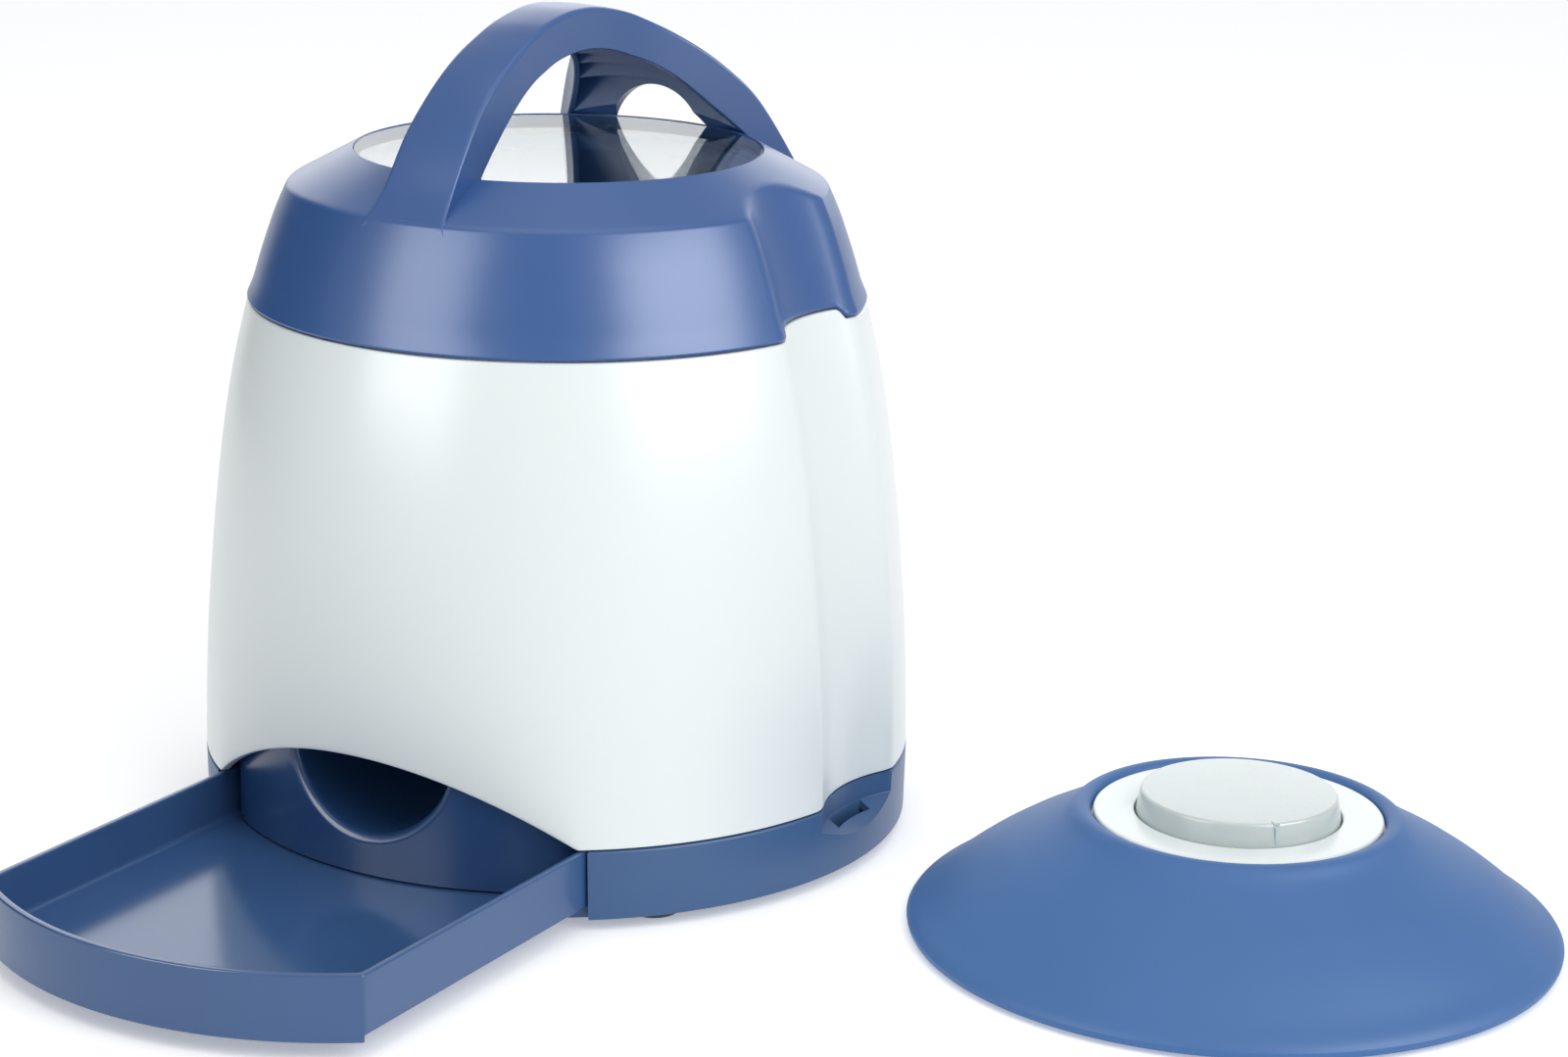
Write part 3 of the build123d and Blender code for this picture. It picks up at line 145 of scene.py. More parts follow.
# coincident points become one, a patchwork faces outward, edges above the angle stay crisp
def finishMesh(piece, creaseDegrees, mergeMm=0.001, patchwork=False):
    work = bmesh.new()
    work.from_mesh(piece.data)
    bmesh.ops.remove_doubles(work, verts=work.verts, dist=mergeMm * mm)
    bmesh.ops.dissolve_degenerate(work, edges=work.edges, dist=mergeMm * mm)
    if patchwork:
        bmesh.ops.recalc_face_normals(work, faces=work.faces)
        if work.calc_volume(signed=True) < 0:
            bmesh.ops.reverse_faces(work, faces=work.faces)
    work.to_mesh(piece.data)
    work.free()
    piece.data.shade_smooth()
    piece.data.set_sharp_from_angle(angle=math.radians(creaseDegrees))


# an outline of (radius, height) rows turned about a vertical axis
def lathe(outline, x=0, y=0, turns=256, closed=True):
    outline = np.array(outline, float)
    angle = np.linspace(0, 2 * np.pi, turns, endpoint=False)
    radius, height = outline[:, 0], outline[:, 1]
    points = np.stack([x + np.cos(angle)[:, None] * radius, y + np.sin(angle)[:, None] * radius,
                       np.broadcast_to(height, (turns, len(height)))], -1)
    return surface(points, closeRows=True, closeColumns=closed)


# each sharp corner of a closed outline is replaced by a short arc of its own radius
def roundCorners(corners, steps=5):
    corners = [(np.array(point[:2], float), point[2] if len(point) > 2 else 0) for point in corners]
    outline = []
    for index, (corner, radius) in enumerate(corners):
        if radius == 0:
            outline.append(corner)
            continue
        before = corners[index - 1][0] - corner
        after = corners[(index + 1) % len(corners)][0] - corner
        before, after = before / np.linalg.norm(before), after / np.linalg.norm(after)
        half = np.arccos(np.clip(before @ after, -1, 1)) / 2
        reach = radius / np.tan(half)
        centre = corner + (before + after) / np.linalg.norm(before + after) * radius / np.sin(half)
        start, end = corner + before * reach - centre, corner + after * reach - centre
        for share in np.linspace(0, 1, steps):
            spoke = start * (1 - share) + end * share
            outline.append(centre + spoke / np.linalg.norm(spoke) * radius)
    return np.array(outline)


# a box as one surface set, in millimetres
def boxSurface(low, high):
    x, y, z = zip(low, high)
    points = np.array([[x[i], y[j], z[k]] for k in (0, 1) for j in (0, 1) for i in (0, 1)], float)
    faces = np.array([[0, 2, 3, 1], [4, 5, 7, 6], [0, 1, 5, 4], [1, 3, 7, 5], [3, 2, 6, 7], [2, 0, 4, 6]])
    return points, faces


# joins, meets or takes away other solids, one after another
def carve(piece, others, operation="DIFFERENCE", creaseDegrees=35, crossesItself=False):
    for other in others:
        modifier = piece.modifiers.new("carve", "BOOLEAN")
        modifier.operation = operation
        modifier.solver = "EXACT"
        modifier.use_self = crossesItself
        modifier.object = other
        bpy.context.view_layer.update()
        mesh = bpy.data.meshes.new_from_object(piece.evaluated_get(bpy.context.evaluated_depsgraph_get()))
        piece.modifiers.clear()
        piece.data = mesh
        bpy.data.objects.remove(other)
    piece.data.shade_smooth()
    piece.data.set_sharp_from_angle(angle=math.radians(creaseDegrees))
    return piece


# Shader building

# wraps a number socket, so that sums and products of it add Math nodes
class Amount:
    def __init__(self, finish, socket):
        self.finish = finish
        self.socket = socket

    def math(self, operation, first, second):
        return self.finish.add("ShaderNodeMath", {"operation": operation}, {0: first, 1: second}).amount()

    def __add__(self, other): return self.math("ADD", self, other)
    def __radd__(self, other): return self.math("ADD", other, self)
    def __sub__(self, other): return self.math("SUBTRACT", self, other)
    def __rsub__(self, other): return self.math("SUBTRACT", other, self)
    def __mul__(self, other): return self.math("MULTIPLY", self, other)
    def __rmul__(self, other): return self.math("MULTIPLY", other, self)
    def __truediv__(self, other): return self.math("DIVIDE", self, other)
    def __pow__(self, other): return self.math("POWER", self, other)


class NodeBox:
    def __init__(self, finish, node):
        self.finish = finish
        self.node = node

    def amount(self, output=0):
        return Amount(self.finish, self.node.outputs[output])


# one procedural finish: a Principled shader and whatever feeds it
class Finish:
    def __init__(self, name, colour, roughness, **constants):
        self.material = bpy.data.materials.new(name)
        self.material.use_nodes = True
        self.tree = self.material.node_tree
        self.shader = next(node for node in self.tree.nodes if node.type == "BSDF_PRINCIPLED")
        self.set("Base Color", colour)
        self.set("Roughness", roughness)
        for socket, value in constants.items():
            self.set(socket, value)

    # settings are set before the sockets, because they decide which sockets there are
    def add(self, kind, settings=None, sockets=None):
        node = self.tree.nodes.new(kind)
        for key, value in (settings or {}).items():
            if key == "stops":
                self.fillRamp(node, value)
            else:
                setattr(node, key, value)
        for key, value in (sockets or {}).items():
            self.feed(node.inputs[key], value)
        return NodeBox(self, node)

    def fillRamp(self, node, stops):
        ramp = node.color_ramp
        while len(ramp.elements) < len(stops):
            ramp.elements.new(0.5)
        for element, (place, colour) in zip(ramp.elements, stops):
            element.position = place
            element.color = (*colour, 1)

    def feed(self, socket, value):
        if isinstance(value, Amount):
            self.tree.links.new(value.socket, socket)
        elif isinstance(value, tuple) and len(value) == 3 and socket.type == "RGBA":
            socket.default_value = (*value, 1)
        else:
            socket.default_value = value

    def set(self, name, value):
        self.feed(self.shader.inputs[name], value)

    def coordinates(self, scale=(1, 1, 1)):
        place = self.add("ShaderNodeTexCoord").amount("Object")
        return self.add("ShaderNodeMapping", {}, {"Vector": place, "Scale": scale}).amount()

    def noise(self, size, detail=2.0, stretch=(1, 1, 1), rough=0.5):
        return self.add("ShaderNodeTexNoise", {}, {"Vector": self.coordinates(stretch), "Scale": 1 / (size * mm),
                                                  "Detail": detail, "Roughness": rough}).amount("Fac")

    def mixColours(self, share, first, second):
        return self.add("ShaderNodeMix", {"data_type": "RGBA"}, {0: share, 6: first, 7: second}).amount(2)

    def bump(self, height, depthMm, strength=1.0):
        node = self.add("ShaderNodeBump", {}, {"Height": height, "Distance": depthMm * mm, "Strength": strength})
        self.set("Normal", node.amount())


# a share lighter or darker than a colour
def shade(colour, share):
    return tuple(min(1.0, channel * share) for channel in colour)


# moulded plastic: fine spark-eroded grain, broad flow marks in colour and gloss, a few handling scuffs
def mouldedPlastic(name, colour, roughness, grain=0.006, grainSize=0.5, flow=0.05, gloss=0.04, scuffs=0.06,
                   shine=0.5):
    finish = Finish(name, colour, roughness)
    finish.set("Specular IOR Level", shine)
    broad = finish.noise(38, detail=2, stretch=(1, 1, 0.45))
    fine = finish.noise(grainSize, detail=2)
    scuff = finish.noise(2.2, detail=4, stretch=(1, 0.12, 1)) ** 6
    finish.set("Base Color", finish.mixColours(broad, shade(colour, 1 - flow), shade(colour, 1 + flow)))
    finish.set("Roughness", roughness - gloss / 2 + broad * gloss + scuff * scuffs)
    finish.bump(fine, grain)
    return finish.material


# drawn or turned metal with lengthwise lines
def drawnMetal(name, colour, roughness, stretch=(1, 1, 0.02)):
    finish = Finish(name, colour, roughness, Metallic=1.0)
    lines = finish.noise(0.4, detail=3, stretch=stretch)
    blotch = finish.noise(6, detail=2)
    finish.set("Base Color", finish.mixColours(blotch, shade(colour, 0.86), shade(colour, 1.1)))
    finish.set("Roughness", roughness - 0.08 + lines * 0.2)
    finish.bump(lines, 0.004)
    return finish.material


# clear sheet: the mirror share of each face follows Schlick's curve 0.04 + 0.96 facing^5, the rest passes through
def clearSheet(name, tint, mirror):
    finish = Finish(name, (0.9, 0.92, 0.92), 0.03)
    haze = finish.noise(25, detail=2)
    finish.set("Metallic", 1.0)
    finish.set("Roughness", 0.015 + haze * 0.03)
    facing = finish.add("ShaderNodeLayerWeight", {}, {"Blend": 0.5}).amount("Facing")
    glance = (facing ** 5 * 0.96 + 0.04) * mirror
    clear = finish.add("ShaderNodeBsdfTransparent", {}, {"Color": tint})
    mix = finish.add("ShaderNodeMixShader", {}, {0: glance})
    output = next(node for node in finish.tree.nodes if node.type == "OUTPUT_MATERIAL")
    finish.tree.links.new(clear.node.outputs[0], mix.node.inputs[1])
    finish.tree.links.new(finish.shader.outputs[0], mix.node.inputs[2])
    finish.tree.links.new(mix.node.outputs[0], output.inputs["Surface"])
    return finish.material


# frosted cap: turning rings round its centre, sin(2 pi r / pitch), over fine ripples
def frostedCap(name, colour, centre, pitch=0.0013):
    finish = Finish(name, colour, 0.28)
    finish.set("Subsurface Weight", 0.25)
    finish.set("Subsurface Scale", 0.004)
    finish.set("Coat Weight", 0.3)
    finish.set("Coat Roughness", 0.15)
    ripple = finish.noise(0.6, detail=2)
    cloud = finish.noise(9, detail=2)
    away = finish.add("ShaderNodeVectorMath", {"operation": "DISTANCE"},
                      {0: finish.coordinates((1, 1, 0)), 1: centre}).amount("Value")
    rings = finish.add("ShaderNodeMath", {"operation": "SINE"}, {0: away * (2 * math.pi / pitch)}).amount()
    finish.set("Base Color", finish.mixColours(cloud, shade(colour, 0.95), shade(colour, 1.04)))
    finish.set("Roughness", 0.24 + ripple * 0.12)
    finish.bump(rings * 0.5 + ripple, 0.012)
    return finish.material


# lacquered board: tracks as the edges of a cell pattern, under green lacquer
def boardLacquer(name, colour):
    finish = Finish(name, colour, 0.3)
    cells = finish.add("ShaderNodeTexVoronoi", {"feature": "DISTANCE_TO_EDGE"},
                       {"Vector": finish.coordinates(), "Scale": 260.0}).amount("Distance")
    track = finish.add("ShaderNodeMath", {"operation": "LESS_THAN"}, {0: cells, 1: 0.06}).amount()
    finish.set("Base Color", finish.mixColours(track, colour, shade(colour, 1.9)))
    finish.set("Coat Weight", 0.6)
    finish.bump(track, 0.03)
    return finish.material


lidBlue = (0.036, 0.100, 0.285)
finishes = {
    "base_blue": mouldedPlastic("base_blue", (0.048, 0.112, 0.250), 0.36, shine=0.32),
    "body_white": mouldedPlastic("body_white", (0.784, 0.834, 0.828), 0.28, flow=0.006, gloss=0.012, grain=0.0002,
                                 scuffs=0.0),
    "panel_blue": mouldedPlastic("panel_blue", (0.024, 0.074, 0.200), 0.22, grain=0.001),
    "tray_blue": mouldedPlastic("tray_blue", (0.040, 0.098, 0.240), 0.16, grain=0.001),
    "lid_blue": mouldedPlastic("lid_blue", lidBlue, 0.30),
    "window_clear": clearSheet("window_clear", (0.90, 0.93, 0.93), 0.75),
    "inner_white": mouldedPlastic("inner_white", (0.72, 0.75, 0.74), 0.5, flow=0.02),
    "rotor_grey": mouldedPlastic("rotor_grey", (0.36, 0.39, 0.41), 0.45),
    "gear_natural": mouldedPlastic("gear_natural", (0.74, 0.71, 0.60), 0.4),
    "screw_steel": drawnMetal("screw_steel", (0.55, 0.55, 0.56), 0.32),
    "motor_steel": drawnMetal("motor_steel", (0.46, 0.46, 0.48), 0.36),
    "board_green": boardLacquer("board_green", (0.02, 0.16, 0.07)),
    "parts_black": mouldedPlastic("parts_black", (0.022, 0.022, 0.025), 0.42),
    "cell_wrap": mouldedPlastic("cell_wrap", (0.07, 0.07, 0.075), 0.25, grain=0.001),
    "contact_nickel": drawnMetal("contact_nickel", (0.62, 0.59, 0.53), 0.28),
    "foot_rubber": mouldedPlastic("foot_rubber", (0.05, 0.07, 0.11), 0.75, grain=0.02),
    "skirt_blue": mouldedPlastic("skirt_blue", (0.052, 0.146, 0.362), 0.50, grain=0.008, grainSize=0.35,
                                 shine=0.3),
    "button_frost": frostedCap("button_frost", (0.53, 0.59, 0.585), (0.206, 0.012, 0.0)),
    "light_clear": mouldedPlastic("light_clear", (0.85, 0.85, 0.78), 0.12, grain=0.001),
}
slotOfNode = {row["node"]: row["material_slot"] for row in frame["record"]["subparts"]}
for name, node in nodes.items():
    node.data.materials.clear()
    node.data.materials.append(finishes[slotOfNode[name]])
print("finishes made:", len(finishes))


# a new piece moves with the body of the node that it stands for, and that node is hidden
def standFor(piece, *nodeNames):
    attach(piece, nodes[nodeNames[0]]["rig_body"])
    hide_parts(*nodeNames)
    return piece


# Barrel, lid wall and their two side grooves share these curves

groove = {"radius": 41.7, "centreOut": 34.8, "soft": 2.2}
barrel = {
    "radiusAt": [(22.9, 100.45), (30, 100.3), (40, 100.0), (50, 99.6), (60, 99.05), (70, 98.3), (80, 97.45),
                 (90, 96.5), (100, 95.4), (110, 94.15), (120, 92.7), (130, 90.95), (140, 88.85), (151, 86.1)],
    "low": 22.9, "top": 150.9, "wall": 2.5, "edge": 0.5,
    "tabTop": 153.7, "tabHalf": 16.2, "tabRound": 2.4,
    "archRadius": 93.4, "archTop": 43.7, "archHalf": 60.0,
}
lid = {
    "radiusAt": [(150, 87.05), (151.3, 86.55), (155, 84.95), (160, 83.35), (165, 81.8), (170, 80.1), (175, 78.3),
                 (179, 76.6), (183, 74.7), (187, 72.6)],
    "low": 151.3, "wall": 2.4, "edge": 0.8, "notchLow": 154.1, "notchHalf": 16.5, "notchRound": 2.8,
    "shoulder": (74.7, 183.0), "rim": (56.9, 192.6), "shoulderSoft": 0.9, "seat": 188.6, "rimSoft": 0.45,
}
barrelRadius = smoothCurve(barrel["radiusAt"])
lidWallRadius = smoothCurve(lid["radiusAt"])


# where a ray at an angle meets the groove's circle, far out where it misses it
def grooveReach(angle, centre):
    along = centre * np.abs(np.cos(angle))
    inside = groove["radius"] ** 2 - (centre * np.sin(angle)) ** 2
    return np.where(inside > 0, along - np.sqrt(np.maximum(inside, 0)), 1e3)


# radius of the barrel at an angle and height: its own curve, cut back by the groove
def barrelSkin(angle, height):
    radius = barrelRadius(height)
    return roundedMin(radius, grooveReach(angle, radius + groove["centreOut"]), groove["soft"])


# the slope between shoulder and window rim as a radius at a height
def slopeRadius(height):
    (outer, low), (inner, high) = lid["shoulder"], lid["rim"]
    return outer + (height - low) * (inner - outer) / (high - low)


def slopeHeight(radius):
    (outer, low), (inner, high) = lid["shoulder"], lid["rim"]
    return low + (radius - outer) * (high - low) / (inner - outer)


def lidSkin(angle, height):
    wall = lidWallRadius(np.minimum(height, 187))
    radius = roundedMin(wall, slopeRadius(height), lid["shoulderSoft"])
    return roundedMin(radius, grooveReach(angle, wall + groove["centreOut"]), groove["soft"])


# angles round the whole body, closer together on the grooves' flanks and at the mouth
def columnAngles(extra=()):
    even = np.radians(np.arange(0, 360, 0.75))
    flank = np.concatenate([centre + np.radians(np.arange(-20, 20, 0.5)) for centre in (0, np.pi)])
    angles = np.concatenate([even, flank % (2 * np.pi), np.array(extra) % (2 * np.pi)])
    return np.unique(np.round(angles, 6))


# a wall as closed loops: outer face up, rounded top edge, inner face down, rounded foot
def wallLoop(low, top, wall, edge, rows):
    turn = np.linspace(0, np.pi / 2, 5)[1:-1]
    depth = np.concatenate([np.zeros(rows), edge * (1 - np.cos(turn)), [edge, wall - edge],
                            wall - edge * (1 - np.sin(turn)), np.full(rows // 3, wall),
                            wall - edge * (1 - np.cos(turn)), [wall - edge, edge], edge * (1 - np.sin(turn))])
    high, foot = top - edge, low + edge
    rise = np.concatenate([np.linspace(0, 1, rows), np.ones(8), np.linspace(1, 0, rows // 3), np.zeros(8)])
    lift = np.concatenate([np.zeros(rows), edge * np.sin(turn), [edge, edge], edge * np.cos(turn),
                           np.zeros(rows // 3), -edge * np.sin(turn), [-edge, -edge], -edge * np.cos(turn)])
    height = foot[:, None] + (high - foot)[:, None] * rise + lift
    return depth, height


# barrel: radius from barrelSkin, foot raised to the mouth's circle, top raised to the tabs in the grooves
def buildBarrel():
    corner = math.asin(59.1 / 100.4)
    angle = columnAngles((-np.pi / 2 - corner, -np.pi / 2 + corner))
    low = np.full(len(angle), barrel["low"])
    centre = barrel["archTop"] - barrel["archRadius"]
    for _ in range(6):
        x = barrelSkin(angle, low) * np.cos(angle)
        arch = centre + np.sqrt(np.maximum(barrel["archRadius"] ** 2 - x ** 2, 0))
        front = (np.sin(angle) < 0) & (np.abs(x) < barrel["archHalf"])
        low = np.where(front, np.maximum(arch, barrel["low"]), barrel["low"])
    side = np.abs(np.sin(angle)) * barrelRadius(barrel["top"])
    tab = 1 - easeStep(side, barrel["tabHalf"] - barrel["tabRound"] / 2, barrel["tabHalf"] + barrel["tabRound"] / 2)
    top = barrel["top"] + (barrel["tabTop"] - barrel["top"]) * tab
    depth, height = wallLoop(low, top, barrel["wall"], barrel["edge"], 96)
    radius = barrelSkin(angle[:, None], height) - depth
    points = np.stack([radius * np.cos(angle)[:, None], radius * np.sin(angle)[:, None], height], -1)
    piece = makePiece("barrel", [surface(points, closeRows=True, closeColumns=True)], finishes["body_white"])
    return standFor(piece, "body_shell")


# lid wall and slope: one skin from the foot over the shoulder to the window's rim, closed inside
def buildLidWall():
    angle = columnAngles()
    side = np.abs(np.sin(angle)) * lidWallRadius(lid["low"])
    notch = 1 - easeStep(side, lid["notchHalf"] - lid["notchRound"] / 2, lid["notchHalf"] + lid["notchRound"] / 2)
    low = (lid["low"] + (lid["notchLow"] - lid["low"]) * notch)[:, None]
    edge = lid["edge"]
    rimRadius, rimHeight = lid["rim"]
    rise = np.concatenate([np.linspace(0, 0.68, 26), np.linspace(0.69, 0.80, 16), np.linspace(0.815, 1, 22)])
    turn = np.linspace(0, np.pi / 2, 5)
    outerZ = low + edge + (rimHeight - lid["rimSoft"] * 0.5 - low - edge) * rise
    outerR = lidSkin(angle[:, None], outerZ)
    footZ = low + edge * (1 - np.sin(turn))[::-1][:-1]
    footR = lidSkin(angle[:, None], low + edge) - edge * (1 - np.cos(turn))[::-1][:-1]
    column = np.ones(len(angle))[:, None]
    rimR = column * (rimRadius + lid["rimSoft"] * np.array([0.0, -0.55, -0.9, -1.0]))
    rimZ = column * (rimHeight - lid["rimSoft"] * np.array([0.0, 0.1, 0.5, 1.2]))
    seatR = column * np.array([rimRadius - lid["rimSoft"], rimRadius + 0.2])
    seatZ = column * np.array([lid["seat"] + 1.2, lid["seat"] + 0.6])
    innerZ = (lid["seat"] - 0.4) + (low - lid["seat"] + 0.4) * np.linspace(0, 1, 16)
    innerR = lidSkin(angle[:, None], innerZ) - lid["wall"]
    radius = np.concatenate([footR, outerR, rimR, seatR, innerR], 1)
    height = np.concatenate([footZ, outerZ, rimZ, seatZ, innerZ], 1)
    points = np.stack([radius * np.cos(angle)[:, None], radius * np.sin(angle)[:, None], height], -1)
    piece = makePiece("lidWall", [surface(points, closeRows=True, closeColumns=True)], finishes["lid_blue"])
    return standFor(piece, "lid_cover")


# Handle

handle = {
    "outer": [(0, 231.6), (7, 231.4), (10.5, 230.9), (13.8, 230.25), (17.4, 229.4), (21.1, 228.35), (25, 226.9),
              (28.9, 225.2), (32.8, 223.4), (36.8, 221.3), (40.7, 219.0), (44.6, 216.4), (48.6, 213.3),
              (52.6, 209.7), (56.6, 205.6), (60.5, 200.9), (64.5, 195.3), (68.5, 189.6), (71.6, 185.9),
              (73.6, 183.7), (74.8, 182.2), (75.5, 180.5), (76.1, 178.0), (76.6, 175.5)],
    "inner": [(0, 220.2), (7, 219.9), (10.5, 219.3), (13.8, 218.6), (17.4, 217.5), (21.1, 216.1), (25, 214.6),
              (28.9, 212.7), (32.8, 210.4), (36.8, 207.5), (40.7, 204.1), (44.6, 200.4), (48.6, 196.5),
              (52.6, 192.4), (57, 187.6)],
    "halfWidth": [(-80, 14.6), (-76, 13.6), (-72, 12.1), (-68, 11.0), (-60, 10.5), (-52, 9.9), (-44, 9.6), (-36, 9.5),
                  (-28, 9.1), (-20, 8.8), (-12, 8.7), (0, 9.0), (8, 9.5), (16, 10.6), (24, 12.8), (32, 16.2),
                  (40, 21.0), (48, 27.4), (56, 35.0), (60, 39.0), (64, 42.6), (68, 45.5), (76, 49.5)],
    "flat": 0.78, "rearDrop": 0.055, "rearBy": 25.0,
    "edge": 1.2, "rim": 2.0, "roof": 2.2, "soft": 0.35, "thin": 0.06, "least": 1.2, "beside": 0.3,
    "landing": (73.6, 1.25), "landingSoft": 3.5, "landingFrom": 20.0, "solidFrom": 50.2,
    "ribFrom": -44.5, "ribTo": 40.0, "ribCount": 14, "ribHalf": 0.6, "ribInset": 0.5,
    "frontEnd": -77.0, "backEnd": 72.0, "reach": 77.0,
    "footArch": {"radius": 15.6, "centre": 188.0, "from": 36.0, "to": 80.0, "flareFrom": 54.0, "flare": 0.9},
}
domeTop = smoothCurve(handle["outer"])
domeUnder = smoothCurve(handle["inner"])
handleHalf = smoothCurve(handle["halfWidth"])


# both domes are flatter across than along, and the hollow one is a little shallower to the rear;
# to the rear the top also comes down steeply onto the slope at a landing radius
def handleTop(x, y):
    dome = domeTop(np.minimum(np.hypot(handle["flat"] * x, y), 76.6))
    landing, steepness = handle["landing"]
    radius = np.hypot(x, y)
    onSlope = slopeHeight(radius) + steepness * (landing - radius)
    return np.where(y > handle["landingFrom"], roundedMin(dome, onSlope, handle["landingSoft"]), dome)


def handleUnder(x, y):
    radius = np.hypot(handle["flat"] * x, y) * (1 - handle["rearDrop"] * np.clip(y / handle["rearBy"], 0, 1))
    inside = domeUnder(np.minimum(radius, 56))
    low = np.where(radius < 54, inside, np.minimum(inside, slopeHeight(np.hypot(x, y)) - 4))
    return np.minimum(low, handleTop(x, y) - handle["least"])


# the hollow's roof follows the top, and the rear legs are solid from a cross wall on
def handleRoof(x, y):
    closed = handleUnder(x, y) + handle["thin"] * 2
    return np.where(y > handle["solidFrom"], closed, np.maximum(handleTop(x, y) - handle["roof"], closed))


# strap: cross sections along y between the two domes, hollow below, with ribs across the hollow
def buildHandle():
    size = handle
    y = np.unique(np.concatenate([np.linspace(size["frontEnd"], -50, 60), np.linspace(-50, 50, 90),
                                  np.linspace(50, size["backEnd"], 50)]))
    half = np.minimum(handleHalf(y), np.sqrt(np.maximum(size["reach"] ** 2 - y ** 2, 4)))
    thick = handleTop(half, y) - handleUnder(half, y)
    edge = np.minimum(size["edge"], thick * 0.3)
    soft = np.minimum(size["soft"], thick * 0.2)
    beside = np.minimum(size["beside"], thick * 0.1)
    thin = size["thin"]
    inner = half - np.minimum(size["rim"], half * 0.4)
    turn = np.linspace(np.pi / 2, 0, 6)
    left = [(-half, edge + beside)]
    left += [(-half + edge * (1 - math.sin(angle)), edge * (1 - math.cos(angle))) for angle in turn]
    rows = [(x, handleTop(-half + edge, y) - drop) for x, drop in left]
    rows += [((half - edge) * share, handleTop((half - edge) * share, y)) for share in np.linspace(-1, 1, 19)[1:-1]]
    rows += [(-x, z) for x, z in rows[:len(left)]][::-1]
    foot = [(half, soft + beside), (half, soft), (half - soft, 0), (inner + soft, 0), (inner, thin)]
    right = [(x, handleUnder(x, y) + lift) for x, lift in foot] + [(inner, handleRoof(inner, y))]
    rows += right
    rows += [(inner * share, handleRoof(inner * share, y)) for share in np.linspace(1, -1, 15)[1:-1]]
    rows += [(-x, z) for x, z in right[::-1]]
    points = np.stack([np.stack([x, y, z], -1) for x, z in rows], 1)
    piece = makeCapped("handle", points)
    arch = size["footArch"]
    around = np.linspace(0, 2 * np.pi, 96, endpoint=False)
    along = np.array([arch["from"], arch["flareFrom"], arch["to"]])[:, None]
    radius = arch["radius"] + arch["flare"] * np.maximum(along - arch["flareFrom"], 0)
    bar = np.stack([radius * np.cos(around), along + 0 * around, arch["centre"] + radius * np.sin(around)], -1)
    carve(piece, [makeCapped("archBar", bar)], creaseDegrees=32, crossesItself=True)
    piece.data.materials.append(finishes["lid_blue"])
    standFor(piece, "lid_cover")
    ribs = []
    for place in np.linspace(size["ribFrom"], size["ribTo"], size["ribCount"]):
        reach = np.interp(place, y, inner) + thin
        x = np.linspace(-reach, reach, 25)
        low, high = handleUnder(x, place) + size["ribInset"], handleRoof(x, place) + 0.3
        front, back = place - size["ribHalf"] + 0 * x, place + size["ribHalf"] + 0 * x
        section = np.stack([np.stack([x, front, low], -1), np.stack([x, back, low], -1),
                            np.stack([x, back, high], -1), np.stack([x, front, high], -1)], 1)
        points, faces = surface(section, closeColumns=True)
        last = 4 * (len(x) - 1)
        ends = np.array([[0, 1, 2, 3], [last + 3, last + 2, last + 1, last]])
        ribs.append((points, np.concatenate([faces, ends])))
    standFor(makePiece("handleRibs", ribs, finishes["lid_blue"], 32), "lid_cover")


# a tube through closed outlines, with one face over each end outline
def makeCapped(name, outlines):
    points, faces = surface(outlines, closeColumns=True)
    rows, count = outlines.shape[:2]
    mesh = bpy.data.meshes.new(name)
    ends = [list(range(count))[::-1], list(range((rows - 1) * count, rows * count))]
    mesh.from_pydata((points * mm).tolist(), [], faces.tolist() + ends)
    piece = bpy.data.objects.new(name, mesh)
    bpy.context.scene.collection.objects.link(piece)
    finishMesh(piece, 32, patchwork=True)
    return piece


# Window: a thin clear hat, its top edge just below the lid's rim and its sheet sagging by a parabola
window = {"edge": 56.4, "top": 192.35, "sheet": 1.85, "sag": 1.0, "skirt": 54.7}


def buildWindow():
    size = window

    def sheet(radius, drop):
        return [(r, size["top"] - drop - size["sag"] * (1 - (r / size["edge"]) ** 2)) for r in radius]

    outline = roundCorners(sheet(np.linspace(0, 55.8, 24), 0) +
                           [(size["edge"], size["top"], 0.25), (size["edge"], 188.8), (60.3, 188.6, 0.2),
                            (60.3, 186.7, 0.2), (size["skirt"], 186.7)] +
                           sheet(np.linspace(size["skirt"], 0, 24), size["sheet"]))
    piece = makePiece("windowSheet", [lathe(outline, turns=256, closed=False)], finishes["window_clear"])
    return standFor(piece, "lid_window")


# Base ring with its side recesses

baseRing = {"low": 3.0, "top": 22.5, "lowRadius": 100.1, "radius": 100.5, "edge": 0.7, "floor": 6.2, "wall": 2.5,
            "mouth": 61.0, "mouthRadius": 97.3, "recessRadius": 41.7, "ledge": 16.4, "fall": 0.64,
            "ledgeReach": 12.0, "notchHalf": 9.0, "notchDepth": 3.3}


